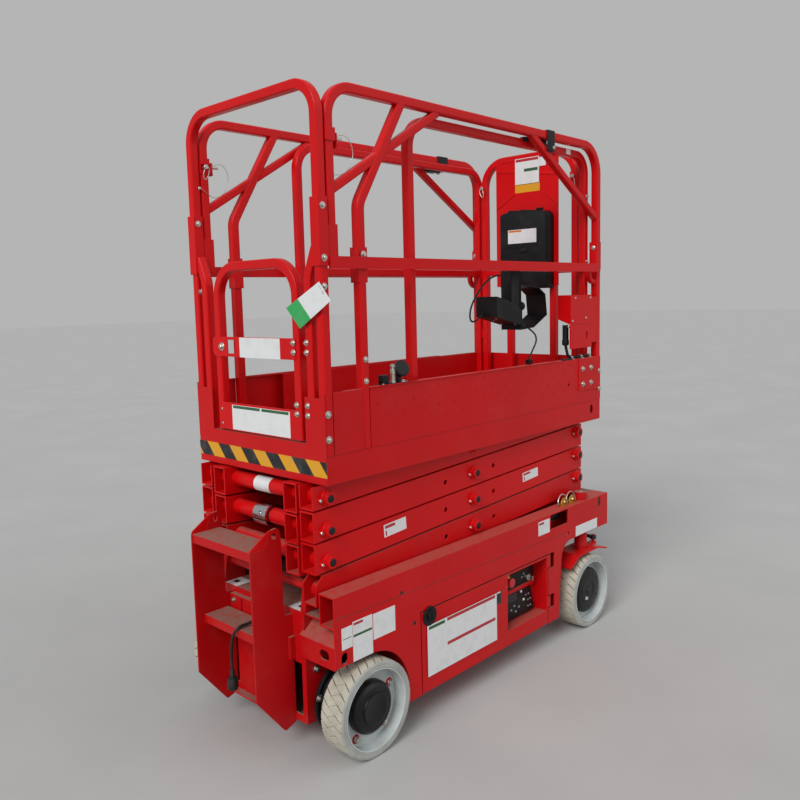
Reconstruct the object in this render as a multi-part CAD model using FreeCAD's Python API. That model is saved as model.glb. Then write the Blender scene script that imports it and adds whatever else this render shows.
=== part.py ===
import FreeCAD, Part
import math
import os

# Slab scissor lift with swing-out trays, in millimetres.
# +X is the steered front end, +Y the left side, +Z up, and Z = 0 is the floor.
# X = 0 is the middle of the overall length.

# Wheels
wheel_radius = 161.5
tyre_width = 100.0
tyre_bore_radius = 136.0
tyre_shoulder = 7.0
tyre_outer_y = 415.0
wheelbase = 1368.0
rear_axle_x = -626.0
front_axle_x = rear_axle_x + wheelbase
rim_wall = 5.0
rim_web = 8.0
rim_web_depth = 48.0
rim_lip = 3.0
rim_gap = 0.02
hub_cap_radius = 87.0
hub_cap_height = 40.0
hub_nose_radius = 52.0
hub_nose_height = 5.0
front_cap_radius = 100.0
front_cap_height = 30.0
seat_end_y = 376.0
wheel_seat_radius = 24.0

# Scissor linkage: every level crosses one outer and one inner pair
level_count = 4
arm_length = 1504.0
level_rise = 103.3
arm_run = math.sqrt(arm_length ** 2 - level_rise ** 2)
rest_angle = math.degrees(math.asin(level_rise / arm_length))
base_pin_x = -720.0
base_pin_z = 559.0
slide_pin_x = base_pin_x + arm_run
arm_height = 97.0
arm_width = 66.0
arm_wall = 5.0
outer_arm_y = 309.0
inner_arm_y = 229.0
outer_pin_offset = 18.0
inner_pin_offset = 8.0
arm_rear_overhang = 58.0
top_arm_overhang = 21.0
top_arm_cut = ((-21.0, -8.0), (45.0, -60.0))
top_sleeve_radius = 22.0
arm_front_overhang = 43.0
arm_end_bevel = 30.0
pin_radius = 18.0
pin_fit = 0.1
arm_gap = 0.5
sleeve_radius = 27.0
boss_radius = 26.0
boss_height = 7.0
cap_radius = 21.0
cap_height = 14.0
cap_bore_radius = 13.0
cap_bore_depth = 8.0
pin_inner_y = 150.0
arm_hole_radius = 9.0
arm_hole_columns = (-169.0, 126.0)
lift_range = 53.0
side_clearance = 5.0

# Lift cylinder in the middle plane
cylinder_radius = 42.0
rod_radius = 25.0
rod_fit = 0.2
barrel_start = 34.0
barrel_end_room = 119.0
barrel_length = arm_length - barrel_end_room
rod_start = 60.0
eye_radius = 40.0
eye_half_width = 34.0
rod_eye_gap = 40.0

# Chassis
chassis_half_width = 390.0
side_plate = 6.0
chassis_rear_x = -777.0
chassis_front_x = 920.0
sill_top_z = 575.0
sill_height = 105.0
sill_width = 72.0
sill_wall = 5.0
deck_top_z = 484.0
deck_plate = 6.0
side_bottom_z = 106.0
rear_low_z = 345.0
arch_radius = 180.0
arch_front_x = 504.0
arch_corner_x = 533.0
arch_corner_radius = 75.0
nose_bottom_z = 430.0
door_rear_x = -377.0
door_front_x = 419.0
door_top_z = 404.0
door_bottom_z = 108.0
door_gap = 5.0
window_x = 442.0
window_length = 136.0
window_z = 509.0
window_height = 61.0
window_post_x = 459.0
window_post_y = 352.0
window_post_radius = 17.0
sensor_hole_x = 582.0
sensor_hole_z = 460.0
sensor_hole = 14.0
core_half_width = 226.0
core_bottom_z = 98.0
core_rear_x = -764.0
spine_half_width = 118.0
spine_front_x = 700.0
bulkhead = 6.0
core_slot_y = (152.0, 206.0)
core_slot_z = (124.0, 304.0)
bay_rear_x = -436.0
flange_top_z = 412.0
flange_bottom_z = 338.0
flange_hole_y = 335.0
flange_hole_z = 378.0
flange_hole_radius = 16.0
flange_hole_length = 14.0
nose_top_length = 76.0
lug_width = 24.0
lug_y = 236.0
lug_radius = 30.0
side_holes = ((846.0, 548.0, 10.0, 20.0), (-739.0, 369.0, 14.0, 20.0))
guide_y = 148.0
guide_width = 18.0
guide_top_z = 606.0
guide_roller_radius = 24.5
guide_clearance = 0.5
guide_seat_gap = 0.3
guide_end_room = 54.0

# Ladder at the rear
ladder_half_width = 168.0
ladder_plate = 6.0
ladder_rear_x = -922.0
ladder_foot_x = -812.0
ladder_top_z = 708.0
ladder_low_z = 215.0
ladder_ear_x = -826.0
ladder_ear_z = 742.0
ladder_ear_radius = 27.0
ladder_ear_hole = 10.0
ladder_upper_x = -799.0
ladder_notch_z = 466.0
ladder_foot_z = 76.0
step_lip = 30.0
step_plate = 4.0
step_table = ((708.0, -919.0, -806.0), (415.0, -887.0, -790.0))
foot_plate_depth = 26.0
bracket_block = (-782.0, 20.0, 160.0, 366.0, 462.0)
bracket_groove = (84.0, 97.0)
ladder_tab_length = 22.0
ladder_tab_width = 9.0
ladder_tab_z = (316.0, 392.0)

# Running gear
drum_radius = 110.0
drum_inner_y = 260.0
drum_outer_y = 306.0
axle_radius = 62.0
kingpin_y = 355.0
kingpin_radius = 28.0
king_housing_low_z = 362.0
king_housing_top_z = 610.0
king_stub_radius = 20.0
king_stub_top_z = 470.0
yoke_top_z = 344.0
yoke_plate = 6.0
yoke_leg_y = 294.0
yoke_leg = 10.0
yoke_leg_half = 62.0
yoke_leg_bottom_z = 75.0
motor_radius = 95.0
motor_inner_y = 232.0
motor_outer_y = 352.0
fender_outer_y = 400.0
fender_inner_y = 300.0
fender_flat = 84.0
fender_reach_rear = 152.0
fender_drop_rear = 40.0
fender_reach_front = 160.0
fender_drop_front = 22.0
steer_arm = 110.0
steer_arm_plate = 10.0
tie_rod_radius = 8.0
tie_rod_z = 374.0
tie_eye_radius = 15.0
tie_pin_radius = 7.0

# Swing-out trays
door_plate = 4.0
tray_hinge_x = 441.0
tray_hinge_y = 387.0
tray_hinge_pin = 5.0
tray_hinge_barrel = 9.0
tray_hinge_zs = ((171.0, 228.0), (343.0, 408.0))
tray_hinge_slot_x = (413.0, 470.0)
tray_hinge_margin = 6.0
tray_floor_z = 114.0
tray_plate = 4.0
tray_inner_y = 134.0
tray_rear_x = -330.0
tray_front_x = 400.0
tray_wall_height = 120.0
battery_length = 260.0
battery_width = 178.0
battery_height = 268.0
battery_gap = 6.0
battery_rear_x = -322.0
battery_inner_y = 140.0
recess_rear_x = 132.0
recess_front_x = 412.0
recess_bottom_z = 167.0
recess_top_z = 396.0
recess_back_y = 324.0
recess_slope = 6.0
panel_margin = 5.0
keypad_width = 242.0
keypad_low_y = 346.0
keypad_low_z = recess_bottom_z + 11.0
keypad_high_y = 330.0
keypad_high_z = recess_bottom_z + 113.0
keypad_lip = 3.0
upper_panel_width = 254.0
upper_panel_y = 336.0
upper_panel_low_z = recess_bottom_z + 133.0
upper_panel_high_z = recess_bottom_z + 195.0
stop_knob_x = recess_rear_x + 66.0
stop_knob_z = recess_bottom_z + 174.0
stop_stem_y = 352.0
stop_face_y = 366.0
stop_stem_radius = 13.0
stop_knob_radius = 20.0
key_x = recess_rear_x + 219.0
key_z = recess_bottom_z + 151.0
key_face_y = 344.0
key_radius = 12.0
latch_x = -331.0
latch_z = 379.0
latch_radius = 21.0

# Power cord, from the gland over the lower tread
cord_points = (
    (-784.0, -64.0, 448.0),
    (-832.0, -44.0, 425.5),
    (-904.0, -37.0, 425.5),
    (-906.0, -12.0, 346.0),
    (-905.0, -14.0, 270.0),
)
gland_radius = 11.0
gland_length = 17.0
cord_radius = 5.0
plug_radius = 17.0
plug_length = 66.0

# Platform
platform_rear_x = -750.0
platform_front_x = 922.0
platform_half_width = 349.0
skirt_bottom_z = 917.0
crease_z = 1009.0
skirt_plate = 4.0
skirt_step = 1.5
toe_top_z = 1204.0
toe_flange = 18.0
toe_flange_rear_x = -660.0
bracket_plate = 4.0
bracket_rear_x = 732.0
bracket_front_x = 888.0
bracket_low_z = 1061.0
deck_floor_z = 1040.0
floor_plate = 3.0
channel_inner_y = 312.0
roller_radius = 33.0
roller_inner_y = 313.0
roller_outer_y = 337.0
roller_clearance = 0.5
channel_rear_x = 64.0
channel_front_x = 838.0
rib_columns = (-560.0, -260.0, 20.0, 320.0, 620.0)
rib_width = 30.0
rib_bottom_z = 1030.0
side_slot = (849.0, 969.0, 12.0, 20.0)
square_hole = (652.0, 1097.0, 6.0)
lug_plate_y = 244.0
lug_plate = 16.0
corner_plate_width = 94.0
corner_plate_top_z = 1188.0

# Guardrails
tube = 32.0
tube_corner = 6.0
tube_wall = 2.5
front_rail_bend = 115.0
rear_top_z = 2134.0
upper_frame_low_z = 1622.0
rear_sleeve_low_z = 1590.0
post_low_z = 1009.3
outlet_inner_y = 285.0
outlet_rear_x = 668.0
outlet_front_x = 846.0
outlet_low_z = 1251.0
outlet_split_z = 1355.0
outlet_slope = 24.0
outlet_top_z = 1483.0
cover_plate = 6.0
sleeve_tube = 40.0
sleeve_gap = 0.3
side_sleeve_low_z = 1595.0
rail_top_z = 2127.0
mid_rail_z = 1601.0
mid_rail_height = 37.0
mid_rail_depth = 10.0
gusset_reach = 62.0
gusset_bend = 40.0
gusset_tube = 22.0
side_rail_y = 333.0
rail_bend = 95.0
rear_leg_x = -730.0
side_rear_leg_x = -692.0
side_front_leg_x = 905.0
mid_post_x = -570.0
mid_post_bend_z = 1785.0
mid_post_top_x = -363.0
rear_sleeve_top_z = 1795.0
rear_frame_insert = 155.0
rear_frame_low_z = rear_sleeve_top_z - rear_frame_insert
side_sleeve_top_z = 1715.0
mid_sleeve_bottom_z = 1540.0
mid_sleeve_top_z = 1650.0
jamb_y = 280.0
jamb_bend_z = mid_rail_z - 41.0
jamb_top_z = mid_rail_z + 44.0
jamb_bend = 70.0
brace_width = 28.0
side_braces = (((-690.0, 1815.0), (-187.0, 2113.0)), ((385.0, 2122.0), (903.0, 1817.0)))
collar = 39.0
collar_low_z = 1960.0

# Gate
gate_hinge_x = -713.0
gate_hinge_y = -255.0
gate_hinge_zs = ((1120.0, 1170.0), (1318.0, 1368.0))
gate_right_y = -233.0
gate_left_y = 226.0
gate_x = -730.0
gate_bottom_z = 1046.0
gate_top_z = 1609.0
gate_bend = 105.0
gate_sheet_top_z = 1142.0
gate_plate_low_z = 1303.0
gate_plate_top_z = 1371.0
gate_plate_left_y = 236.0
gate_slot = (102.0, 148.0, 1314.0, 1361.0)

# Roll-out extension deck
extension_travel = 900.0
extension_rear_x = -386.0
extension_floor_rear_x = -20.0
runner_y = 210.0
runner_width = 30.0
runner_gap = 0.3
extension_toe_y = 311.5
extension_floor_z = 1045.0
extension_toe_plate = 3.0
extension_front_x = 914.0
arch_x = 872.0
arch_leg_y = 252.0
arch_top_z = 2128.0
arch_bend = 115.0
extension_rail_y = 292.3
extension_rail_top_z = 2089.0
extension_rail_rear_x = -290.0
extension_leg_x = 867.0
panel_posts_y = (105.0, -137.0)
panel_half_width = 173.0
panel_low_z = 1530.0
panel_top_z = 2112.0
panel_plate = 3.0
document_depth = 62.0
document_outline = ((-149.0, 1518.0, 10), (115.0, 1518.0, 10), (115.0, 1852.0, 8),
                    (68.0, 1881.0, 24), (-124.0, 1881.0, 24), (-149.0, 1868.0, 6))

# Platform controls on the extension's right middle rail
control_near_y = 279.0
control_far_y = 175.0
control_outline = ((232.0, 1404.0, 0), (398.0, 1366.0, 0), (398.0, 1430.0, 0), (305.0, 1470.0, 0),
                   (232.0, 1485.0, 0))
guard_outline = ((396.0, 1346.0, 0), (491.0, 1352.0, 0), (592.0, 1402.0, 0), (580.0, 1490.0, 0),
                 (530.0, 1520.0, 0), (396.0, 1532.0, 0))
guard_step = 6.0
guard_plate = 4.0
strap_x = (336.0, 392.0)
strap_low_z = 1425.0
joystick_place = (470.0, -227.0)
joystick_base_z = 1354.0
joystick_top_z = 1442.0
control_cable_points = (
    (478.0, -262.0, 1347.6),
    (516.0, -269.0, 1327.0),
    (521.0, -273.0, 1292.0),
    (484.0, -277.0, 1258.0),
    (418.0, -303.0, 1227.4),
)
control_loop_points = (
    (335.0, -273.7, 1560.0),
    (276.0, -270.0, 1572.0),
    (208.0, -262.0, 1560.0),
    (146.0, -254.0, 1508.0),
    (104.0, -246.0, 1446.0),
    (116.0, -232.0, 1392.0),
    (170.0, -220.0, 1386.0),
    (230.0, -214.6, 1419.0),
)
control_cable_radius = 3.5


def box(x0, x1, y0, y1, z0, z1):
    """Box between two corners given as ranges."""
    return Part.makeBox(x1 - x0, y1 - y0, z1 - z0, FreeCAD.Vector(x0, y0, z0))


def rod(start, end, radius):
    """Round bar between two points."""
    a = FreeCAD.Vector(*start)
    b = FreeCAD.Vector(*end)
    return Part.makeCylinder(radius, (b - a).Length, a, b - a)


def cross_rod(x, z, y0, y1, radius):
    """Round bar across the machine."""
    return rod((x, y0, z), (x, y1, z), radius)


def union(shapes):
    """Fuse solids and merge the faces that are one."""
    shapes = list(shapes)
    result = shapes[0]
    if len(shapes) > 1:
        result = result.fuse(shapes[1:])
    return result.removeSplitter()


def both_sides(shape):
    """A shape and its mirror image across the middle plane."""
    return [shape, mirrored(shape)]


def mirrored(shape):
    """Mirror image across the middle plane."""
    return shape.mirror(FreeCAD.Vector(0, 0, 0), FreeCAD.Vector(0, 1, 0))


def rounded_wire(points, radii):
    """Closed wire through points, each corner rounded by its radius."""
    count = len(points)
    vectors = [FreeCAD.Vector(*p) for p in points]
    edges = []
    starts = []
    ends = []
    arcs = []
    for i in range(count):
        corner = vectors[i]
        before = (vectors[i - 1] - corner).normalize()
        after = (vectors[(i + 1) % count] - corner).normalize()
        if radii[i] <= 0:
            starts.append(corner)
            ends.append(corner)
            arcs.append(None)
            continue
        half = before.getAngle(after) / 2.0
        reach = radii[i] / math.tan(half)
        first = corner + before * reach
        last = corner + after * reach
        inward = (before + after).normalize()
        middle = corner + inward * (radii[i] / math.sin(half) - radii[i])
        starts.append(first)
        ends.append(last)
        arcs.append(Part.Arc(first, middle, last).toShape())
    for i in range(count):
        if arcs[i] is not None:
            edges.append(arcs[i])
        following = starts[(i + 1) % count]
        if (following - ends[i]).Length > 1e-6:
            edges.append(Part.LineSegment(ends[i], following).toShape())
    return Part.Wire(edges)


def side_profile(points, y0, y1):
    """Plate with an outline of (x, z, corner radius), between two y."""
    wire = rounded_wire([(p[0], y0, p[1]) for p in points], [p[2] for p in points])
    return Part.Face(wire).extrude(FreeCAD.Vector(0, y1 - y0, 0))


def offset_profile(points, distance, y0, y1):
    """Plate with the same outline as side_profile, moved outwards or inwards."""
    wire = Part.makePolygon([FreeCAD.Vector(p[0], y0, p[1]) for p in points + points[:1]])
    face = Part.Face(wire).makeOffset2D(distance)
    return face.extrude(FreeCAD.Vector(0, y1 - y0, 0))


def end_profile(points, x0, x1):
    """Plate with an outline of (y, z, corner radius), between two x."""
    wire = rounded_wire([(x0, p[0], p[1]) for p in points], [p[2] for p in points])
    return Part.Face(wire).extrude(FreeCAD.Vector(x1 - x0, 0, 0))


def plan_profile(points, z0, z1):
    """Plate with an outline of (x, y, corner radius), between two z."""
    wire = rounded_wire([(p[0], p[1], z0) for p in points], [p[2] for p in points])
    return Part.Face(wire).extrude(FreeCAD.Vector(0, 0, z1 - z0))


def path_wire(points, radii):
    """Open wire through points, with an arc of its own radius at each inner point."""
    vectors = [FreeCAD.Vector(*p) for p in points]
    edges = []
    here = vectors[0]
    for i in range(1, len(vectors) - 1):
        corner = vectors[i]
        before = (vectors[i - 1] - corner).normalize()
        after = (vectors[i + 1] - corner).normalize()
        half = before.getAngle(after) / 2.0
        reach = radii[i - 1] / math.tan(half)
        first = corner + before * reach
        last = corner + after * reach
        inward = (before + after).normalize()
        middle = corner + inward * (radii[i - 1] / math.sin(half) - radii[i - 1])
        if (first - here).Length > 1e-6:
            edges.append(Part.LineSegment(here, first).toShape())
        edges.append(Part.Arc(first, middle, last).toShape())
        here = last
    edges.append(Part.LineSegment(here, vectors[-1]).toShape())
    return Part.Wire(edges)


def tube_section(origin, along, side, width, corner):
    """Square section with rounded corners, across a direction."""
    along = FreeCAD.Vector(along).normalize()
    side = FreeCAD.Vector(side).normalize()
    up = along.cross(side)
    half = width / 2.0
    points = []
    for a, b in ((-1, -1), (1, -1), (1, 1), (-1, 1)):
        p = origin + side * (a * half) + up * (b * half)
        points.append((p.x, p.y, p.z))
    return rounded_wire(points, [corner] * 4)


def sweep(points, radii, normal, width, corner):
    """Square bar swept along a path that lies in one plane."""
    spine = path_wire(points, radii)
    start = FreeCAD.Vector(*points[0])
    along = FreeCAD.Vector(*points[1]) - start
    section = tube_section(start, along, normal, width, corner)
    shell = Part.BRepOffsetAPI.MakePipeShell(spine)
    shell.setBiNormalMode(FreeCAD.Vector(*normal))
    shell.add(section)
    shell.build()
    shell.makeSolid()
    return shell.shape()


def bent_tube(points, radii, normal, width=tube, wall=tube_wall):
    """Bent square tube with rounded corners, hollow and open at its ends."""
    outside = sweep(points, radii, normal, width, tube_corner)
    inside = sweep(points, radii, normal, width - 2 * wall, 0)
    return outside.cut(inside)


def post(x, y, z0, z1, width=tube, wall=tube_wall):
    """Upright square tube."""
    return bent_tube([(x, y, z0), (x, y, z1)], [], (0, 1, 0), width, wall)


def export(name, shape):
    """Write one node."""
    shape.exportStep("parts/" + name + ".step")


# Scissor linkage

def pin_height(level):
    """Height of the pins at the ends of a level, at rest."""
    return base_pin_z + level * level_rise


def arm_tube(rear_z, front_z, y0, bevel_low, overhang=arm_rear_overhang):
    """One hollow arm whose middle line runs between two heights at the end pins."""
    slope = (front_z - rear_z) / arm_run
    rear_x = base_pin_x - overhang
    front_x = slide_pin_x + arm_front_overhang
    low = rear_z - slope * overhang
    high = front_z + slope * arm_front_overhang
    half = arm_height / 2.0
    outline = [
        (rear_x, low - half, 0),
        (front_x, high - half, 0),
        (front_x, high + half, 0),
        (rear_x + bevel_low, low + half, 0),
    ]
    if bevel_low > 0:
        outline.append((rear_x, low + half - bevel_low, 0))
    solid = side_profile(outline, y0, y0 + arm_width)
    reach = 100.0
    hollow = [
        (rear_x - reach, low - slope * reach - half + arm_wall, 0),
        (front_x + reach, high + slope * reach - half + arm_wall, 0),
        (front_x + reach, high + slope * reach + half - arm_wall, 0),
        (rear_x - reach, low - slope * reach + half - arm_wall, 0),
    ]
    core = side_profile(hollow, y0 + arm_wall, y0 + arm_width - arm_wall)
    return solid.cut(core)


def pin_cap(x, z):
    """Flanged boss with its hollow round pin end, on the outside of an outer arm."""
    flange = cross_rod(x, z, outer_arm_y, outer_arm_y + boss_height, boss_radius)
    cap_end = outer_arm_y + boss_height + cap_height
    cap = cross_rod(x, z, outer_arm_y, cap_end, cap_radius)
    bore = cross_rod(x, z, cap_end - cap_bore_depth, cap_end, cap_bore_radius)
    return flange.fuse(cap).cut(bore)


def outer_arm_pair(level):
    """Outer arms of a level, low at the rear, with the pins that they carry."""
    low = pin_height(level - 1)
    high = pin_height(level)
    middle_x = (base_pin_x + slide_pin_x) / 2.0
    middle_z = (low + high) / 2.0
    bevel = arm_end_bevel if level == 1 else 0
    y0 = outer_arm_y - arm_width
    arm = arm_tube(low + outer_pin_offset, high - outer_pin_offset, y0, bevel)
    ends = ((base_pin_x, low), (middle_x, middle_z), (slide_pin_x, high))
    slope = (high - low - 2 * outer_pin_offset) / arm_run
    for offset in arm_hole_columns:
        arm = arm.cut(cross_rod(middle_x + offset, middle_z + slope * offset,
                                y0 - 1, outer_arm_y + 1, arm_hole_radius))
    pieces = [arm]
    for x, z in ends:
        pieces.append(cross_rod(x, z, y0 + arm_wall, outer_arm_y - arm_wall, sleeve_radius))
    capped = ends if level < level_count else ends[:2]
    if level == 1:
        capped = ends[1:]
    if level == level_count:
        pieces[0] = arm.cut(box(base_pin_x - 2 * arm_rear_overhang,
                                platform_rear_x + skirt_plate + side_clearance,
                                y0 - 1, outer_arm_y + 1, skirt_bottom_z - side_clearance,
                                skirt_bottom_z + arm_height))
    for x, z in capped:
        pieces.append(pin_cap(x, z))
    pieces.append(cross_rod(middle_x, middle_z, pin_inner_y, outer_arm_y, pin_radius))
    if level == level_count:
        pieces.append(cross_rod(slide_pin_x, high, outer_arm_y, roller_outer_y, pin_radius))
        pieces.append(cross_rod(slide_pin_x, high, roller_inner_y, roller_outer_y, roller_radius))
    side = union(pieces)
    shapes = both_sides(side)
    shapes.append(cross_rod(slide_pin_x, high, -outer_arm_y, outer_arm_y, pin_radius))
    if level == 3:
        stub = cross_rod(base_pin_x, low, rod_eye_gap, outer_arm_y, pin_radius)
        shapes.extend(both_sides(stub))
    else:
        shapes.append(cross_rod(base_pin_x, low, -outer_arm_y, outer_arm_y, pin_radius))
    return union(shapes)


def inner_arm_pair(level):
    """Inner arms of a level, high at the rear, with their cross tubes."""
    high = pin_height(level)
    low = pin_height(level - 1)
    middle_x = (base_pin_x + slide_pin_x) / 2.0
    middle_z = (low + high) / 2.0
    y0 = inner_arm_y - arm_width
    top = level == level_count
    arm = arm_tube(high - inner_pin_offset, low + inner_pin_offset, y0, 0,
                   top_arm_overhang if top else arm_rear_overhang)
    end = outer_arm_y - arm_width - arm_gap
    if top:
        corner = [(base_pin_x + top_arm_cut[0][0], high + top_arm_cut[0][1], 0),
                  (base_pin_x + top_arm_cut[1][0], high + top_arm_cut[1][1], 0),
                  (base_pin_x - arm_height, high + top_arm_cut[1][1], 0),
                  (base_pin_x - arm_height, high + top_arm_cut[0][1], 0)]
        arm = arm.cut(side_profile(corner, y0 - 1, inner_arm_y + 1))
    pieces = both_sides(arm)
    pieces.extend(both_sides(cross_rod(middle_x, middle_z, pin_inner_y, end, sleeve_radius)))
    rear_sleeve = top_sleeve_radius if top else sleeve_radius
    if level == 2:
        pieces.extend(both_sides(cross_rod(base_pin_x, high, rod_eye_gap, end, sleeve_radius)))
    else:
        pieces.append(cross_rod(base_pin_x, high, -end, end, rear_sleeve))
    bores = [(base_pin_x, high), (middle_x, middle_z)]
    if level == 1:
        pieces.append(cross_rod(slide_pin_x, low, -inner_arm_y, inner_arm_y, pin_radius))
        pieces.extend(both_sides(cross_rod(slide_pin_x, low, guide_y - guide_width - 1, guide_y + 1,
                                           guide_roller_radius)))
        pieces.extend(both_sides(cross_rod(slide_pin_x, low, y0 - 8, inner_arm_y + 6,
                                           sleeve_radius)))
    else:
        pieces.append(cross_rod(slide_pin_x, low, -end, end, sleeve_radius))
        bores.append((slide_pin_x, low))
    result = union(pieces)
    for x, z in bores:
        result = result.cut(cross_rod(x, z, -outer_arm_y, outer_arm_y, pin_radius + pin_fit))
    return result


def cylinder_point(distance, across=0.0):
    """Point on the lift cylinder's line at rest, from the slide pin towards the rear."""
    rise = 2 * level_rise
    length = math.hypot(arm_run, rise)
    return (slide_pin_x - distance * arm_run / length, across,
            base_pin_z + distance * rise / length)


def lift_barrel():
    """Barrel with the eye that turns on the slide shaft."""
    tube_body = rod(cylinder_point(barrel_start), cylinder_point(barrel_length), cylinder_radius)
    head = rod(cylinder_point(barrel_length - 60), cylinder_point(barrel_length),
               cylinder_radius + 6)
    eye = cross_rod(slide_pin_x, base_pin_z, -eye_half_width, eye_half_width, eye_radius)
    body = union([tube_body, head, eye])
    bore = rod(cylinder_point(rod_start - 10), cylinder_point(barrel_length + 5),
               rod_radius + rod_fit)
    pin_bore = cross_rod(slide_pin_x, base_pin_z, -eye_half_width - 1, eye_half_width + 1,
                         pin_radius + pin_fit)
    return body.cut(bore).cut(pin_bore)


def lift_rod():
    """Piston rod with the eye between the two stub pins."""
    length = math.hypot(arm_run, 2 * level_rise)
    bar = rod(cylinder_point(rod_start), cylinder_point(length), rod_radius)
    top = pin_height(2)
    eye = cross_rod(base_pin_x, top, -eye_half_width, eye_half_width, eye_radius)
    pin = cross_rod(base_pin_x, top, -rod_eye_gap + 0.3, rod_eye_gap - 0.3, cap_radius)
    return union([bar, eye, pin])


# Chassis

def side_solid():
    """Left side plate and sill, with wheel arches, tray opening, window and holes."""
    outer = chassis_half_width
    inner = outer - side_plate
    arch_x = rear_axle_x + arch_radius
    outline = [
        (chassis_rear_x, rear_low_z, 0),
        (arch_x, rear_low_z, arch_radius - 1),
        (arch_x, side_bottom_z, 0),
        (arch_front_x, side_bottom_z, 0),
        (arch_corner_x, nose_bottom_z, arch_corner_radius),
        (chassis_front_x, nose_bottom_z, 0),
        (chassis_front_x, sill_top_z, 0),
        (chassis_rear_x, sill_top_z, 0),
    ]
    plate = side_profile(outline, inner, outer)
    sill_inner = outer - sill_width
    top = box(chassis_rear_x, chassis_front_x, sill_inner, inner, sill_top_z - sill_wall, sill_top_z)
    web = box(chassis_rear_x, chassis_front_x, sill_inner, sill_inner + sill_wall,
              sill_top_z - sill_height, sill_top_z - sill_wall)
    low = box(chassis_rear_x, chassis_front_x, sill_inner + sill_wall, inner,
              sill_top_z - sill_height, sill_top_z - sill_height + sill_wall)
    shape = union([plate, top, web, low])
    through = outer + 1
    cuts = [
        box(door_rear_x - door_gap, door_front_x + door_gap, inner - 1, through,
            0, door_top_z + door_gap),
        box(window_x, window_x + window_length, inner - 1, through, window_z,
            window_z + window_height),
        box(sensor_hole_x - sensor_hole / 2.0, sensor_hole_x + sensor_hole / 2.0, inner - 1, through,
            sensor_hole_z - sensor_hole / 2.0, sensor_hole_z + sensor_hole / 2.0),
        rod((front_axle_x, kingpin_y, sill_top_z - sill_height - 1),
            (front_axle_x, kingpin_y, sill_top_z + 1), kingpin_radius + 0.3),
    ]
    for low_z, high_z in tray_hinge_zs:
        cuts.append(box(tray_hinge_slot_x[0], tray_hinge_slot_x[1], inner - 1, through,
                        low_z, high_z))
    for x, z, half_x, half_z in side_holes:
        cuts.append(box(x - half_x, x + half_x, inner - 1, through, z - half_z + half_x,
                        z + half_z - half_x))
        for end_z in (z - half_z + half_x, z + half_z - half_x):
            cuts.append(cross_rod(x, end_z, inner - 1, through, half_x))
    shape = shape.cut(cuts)
    hinge = []
    below = side_bottom_z
    for low_z, high_z in tray_hinge_zs + ((430.0, 430.0),):
        hinge.append(box(tray_hinge_x - 8, tray_hinge_x + 16, inner - 16, inner, below, low_z))
        below = high_z
    pin = rod((tray_hinge_x, tray_hinge_y - 8, side_bottom_z),
              (tray_hinge_x, tray_hinge_y - 8, 430.0), tray_hinge_pin)
    post_low = sill_top_z - sill_height + sill_wall
    tube_post = rod((window_post_x, window_post_y, post_low),
                    (window_post_x, window_post_y, sill_top_z - sill_wall), window_post_radius)
    return union([shape] + hinge + [pin, tube_post])


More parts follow.
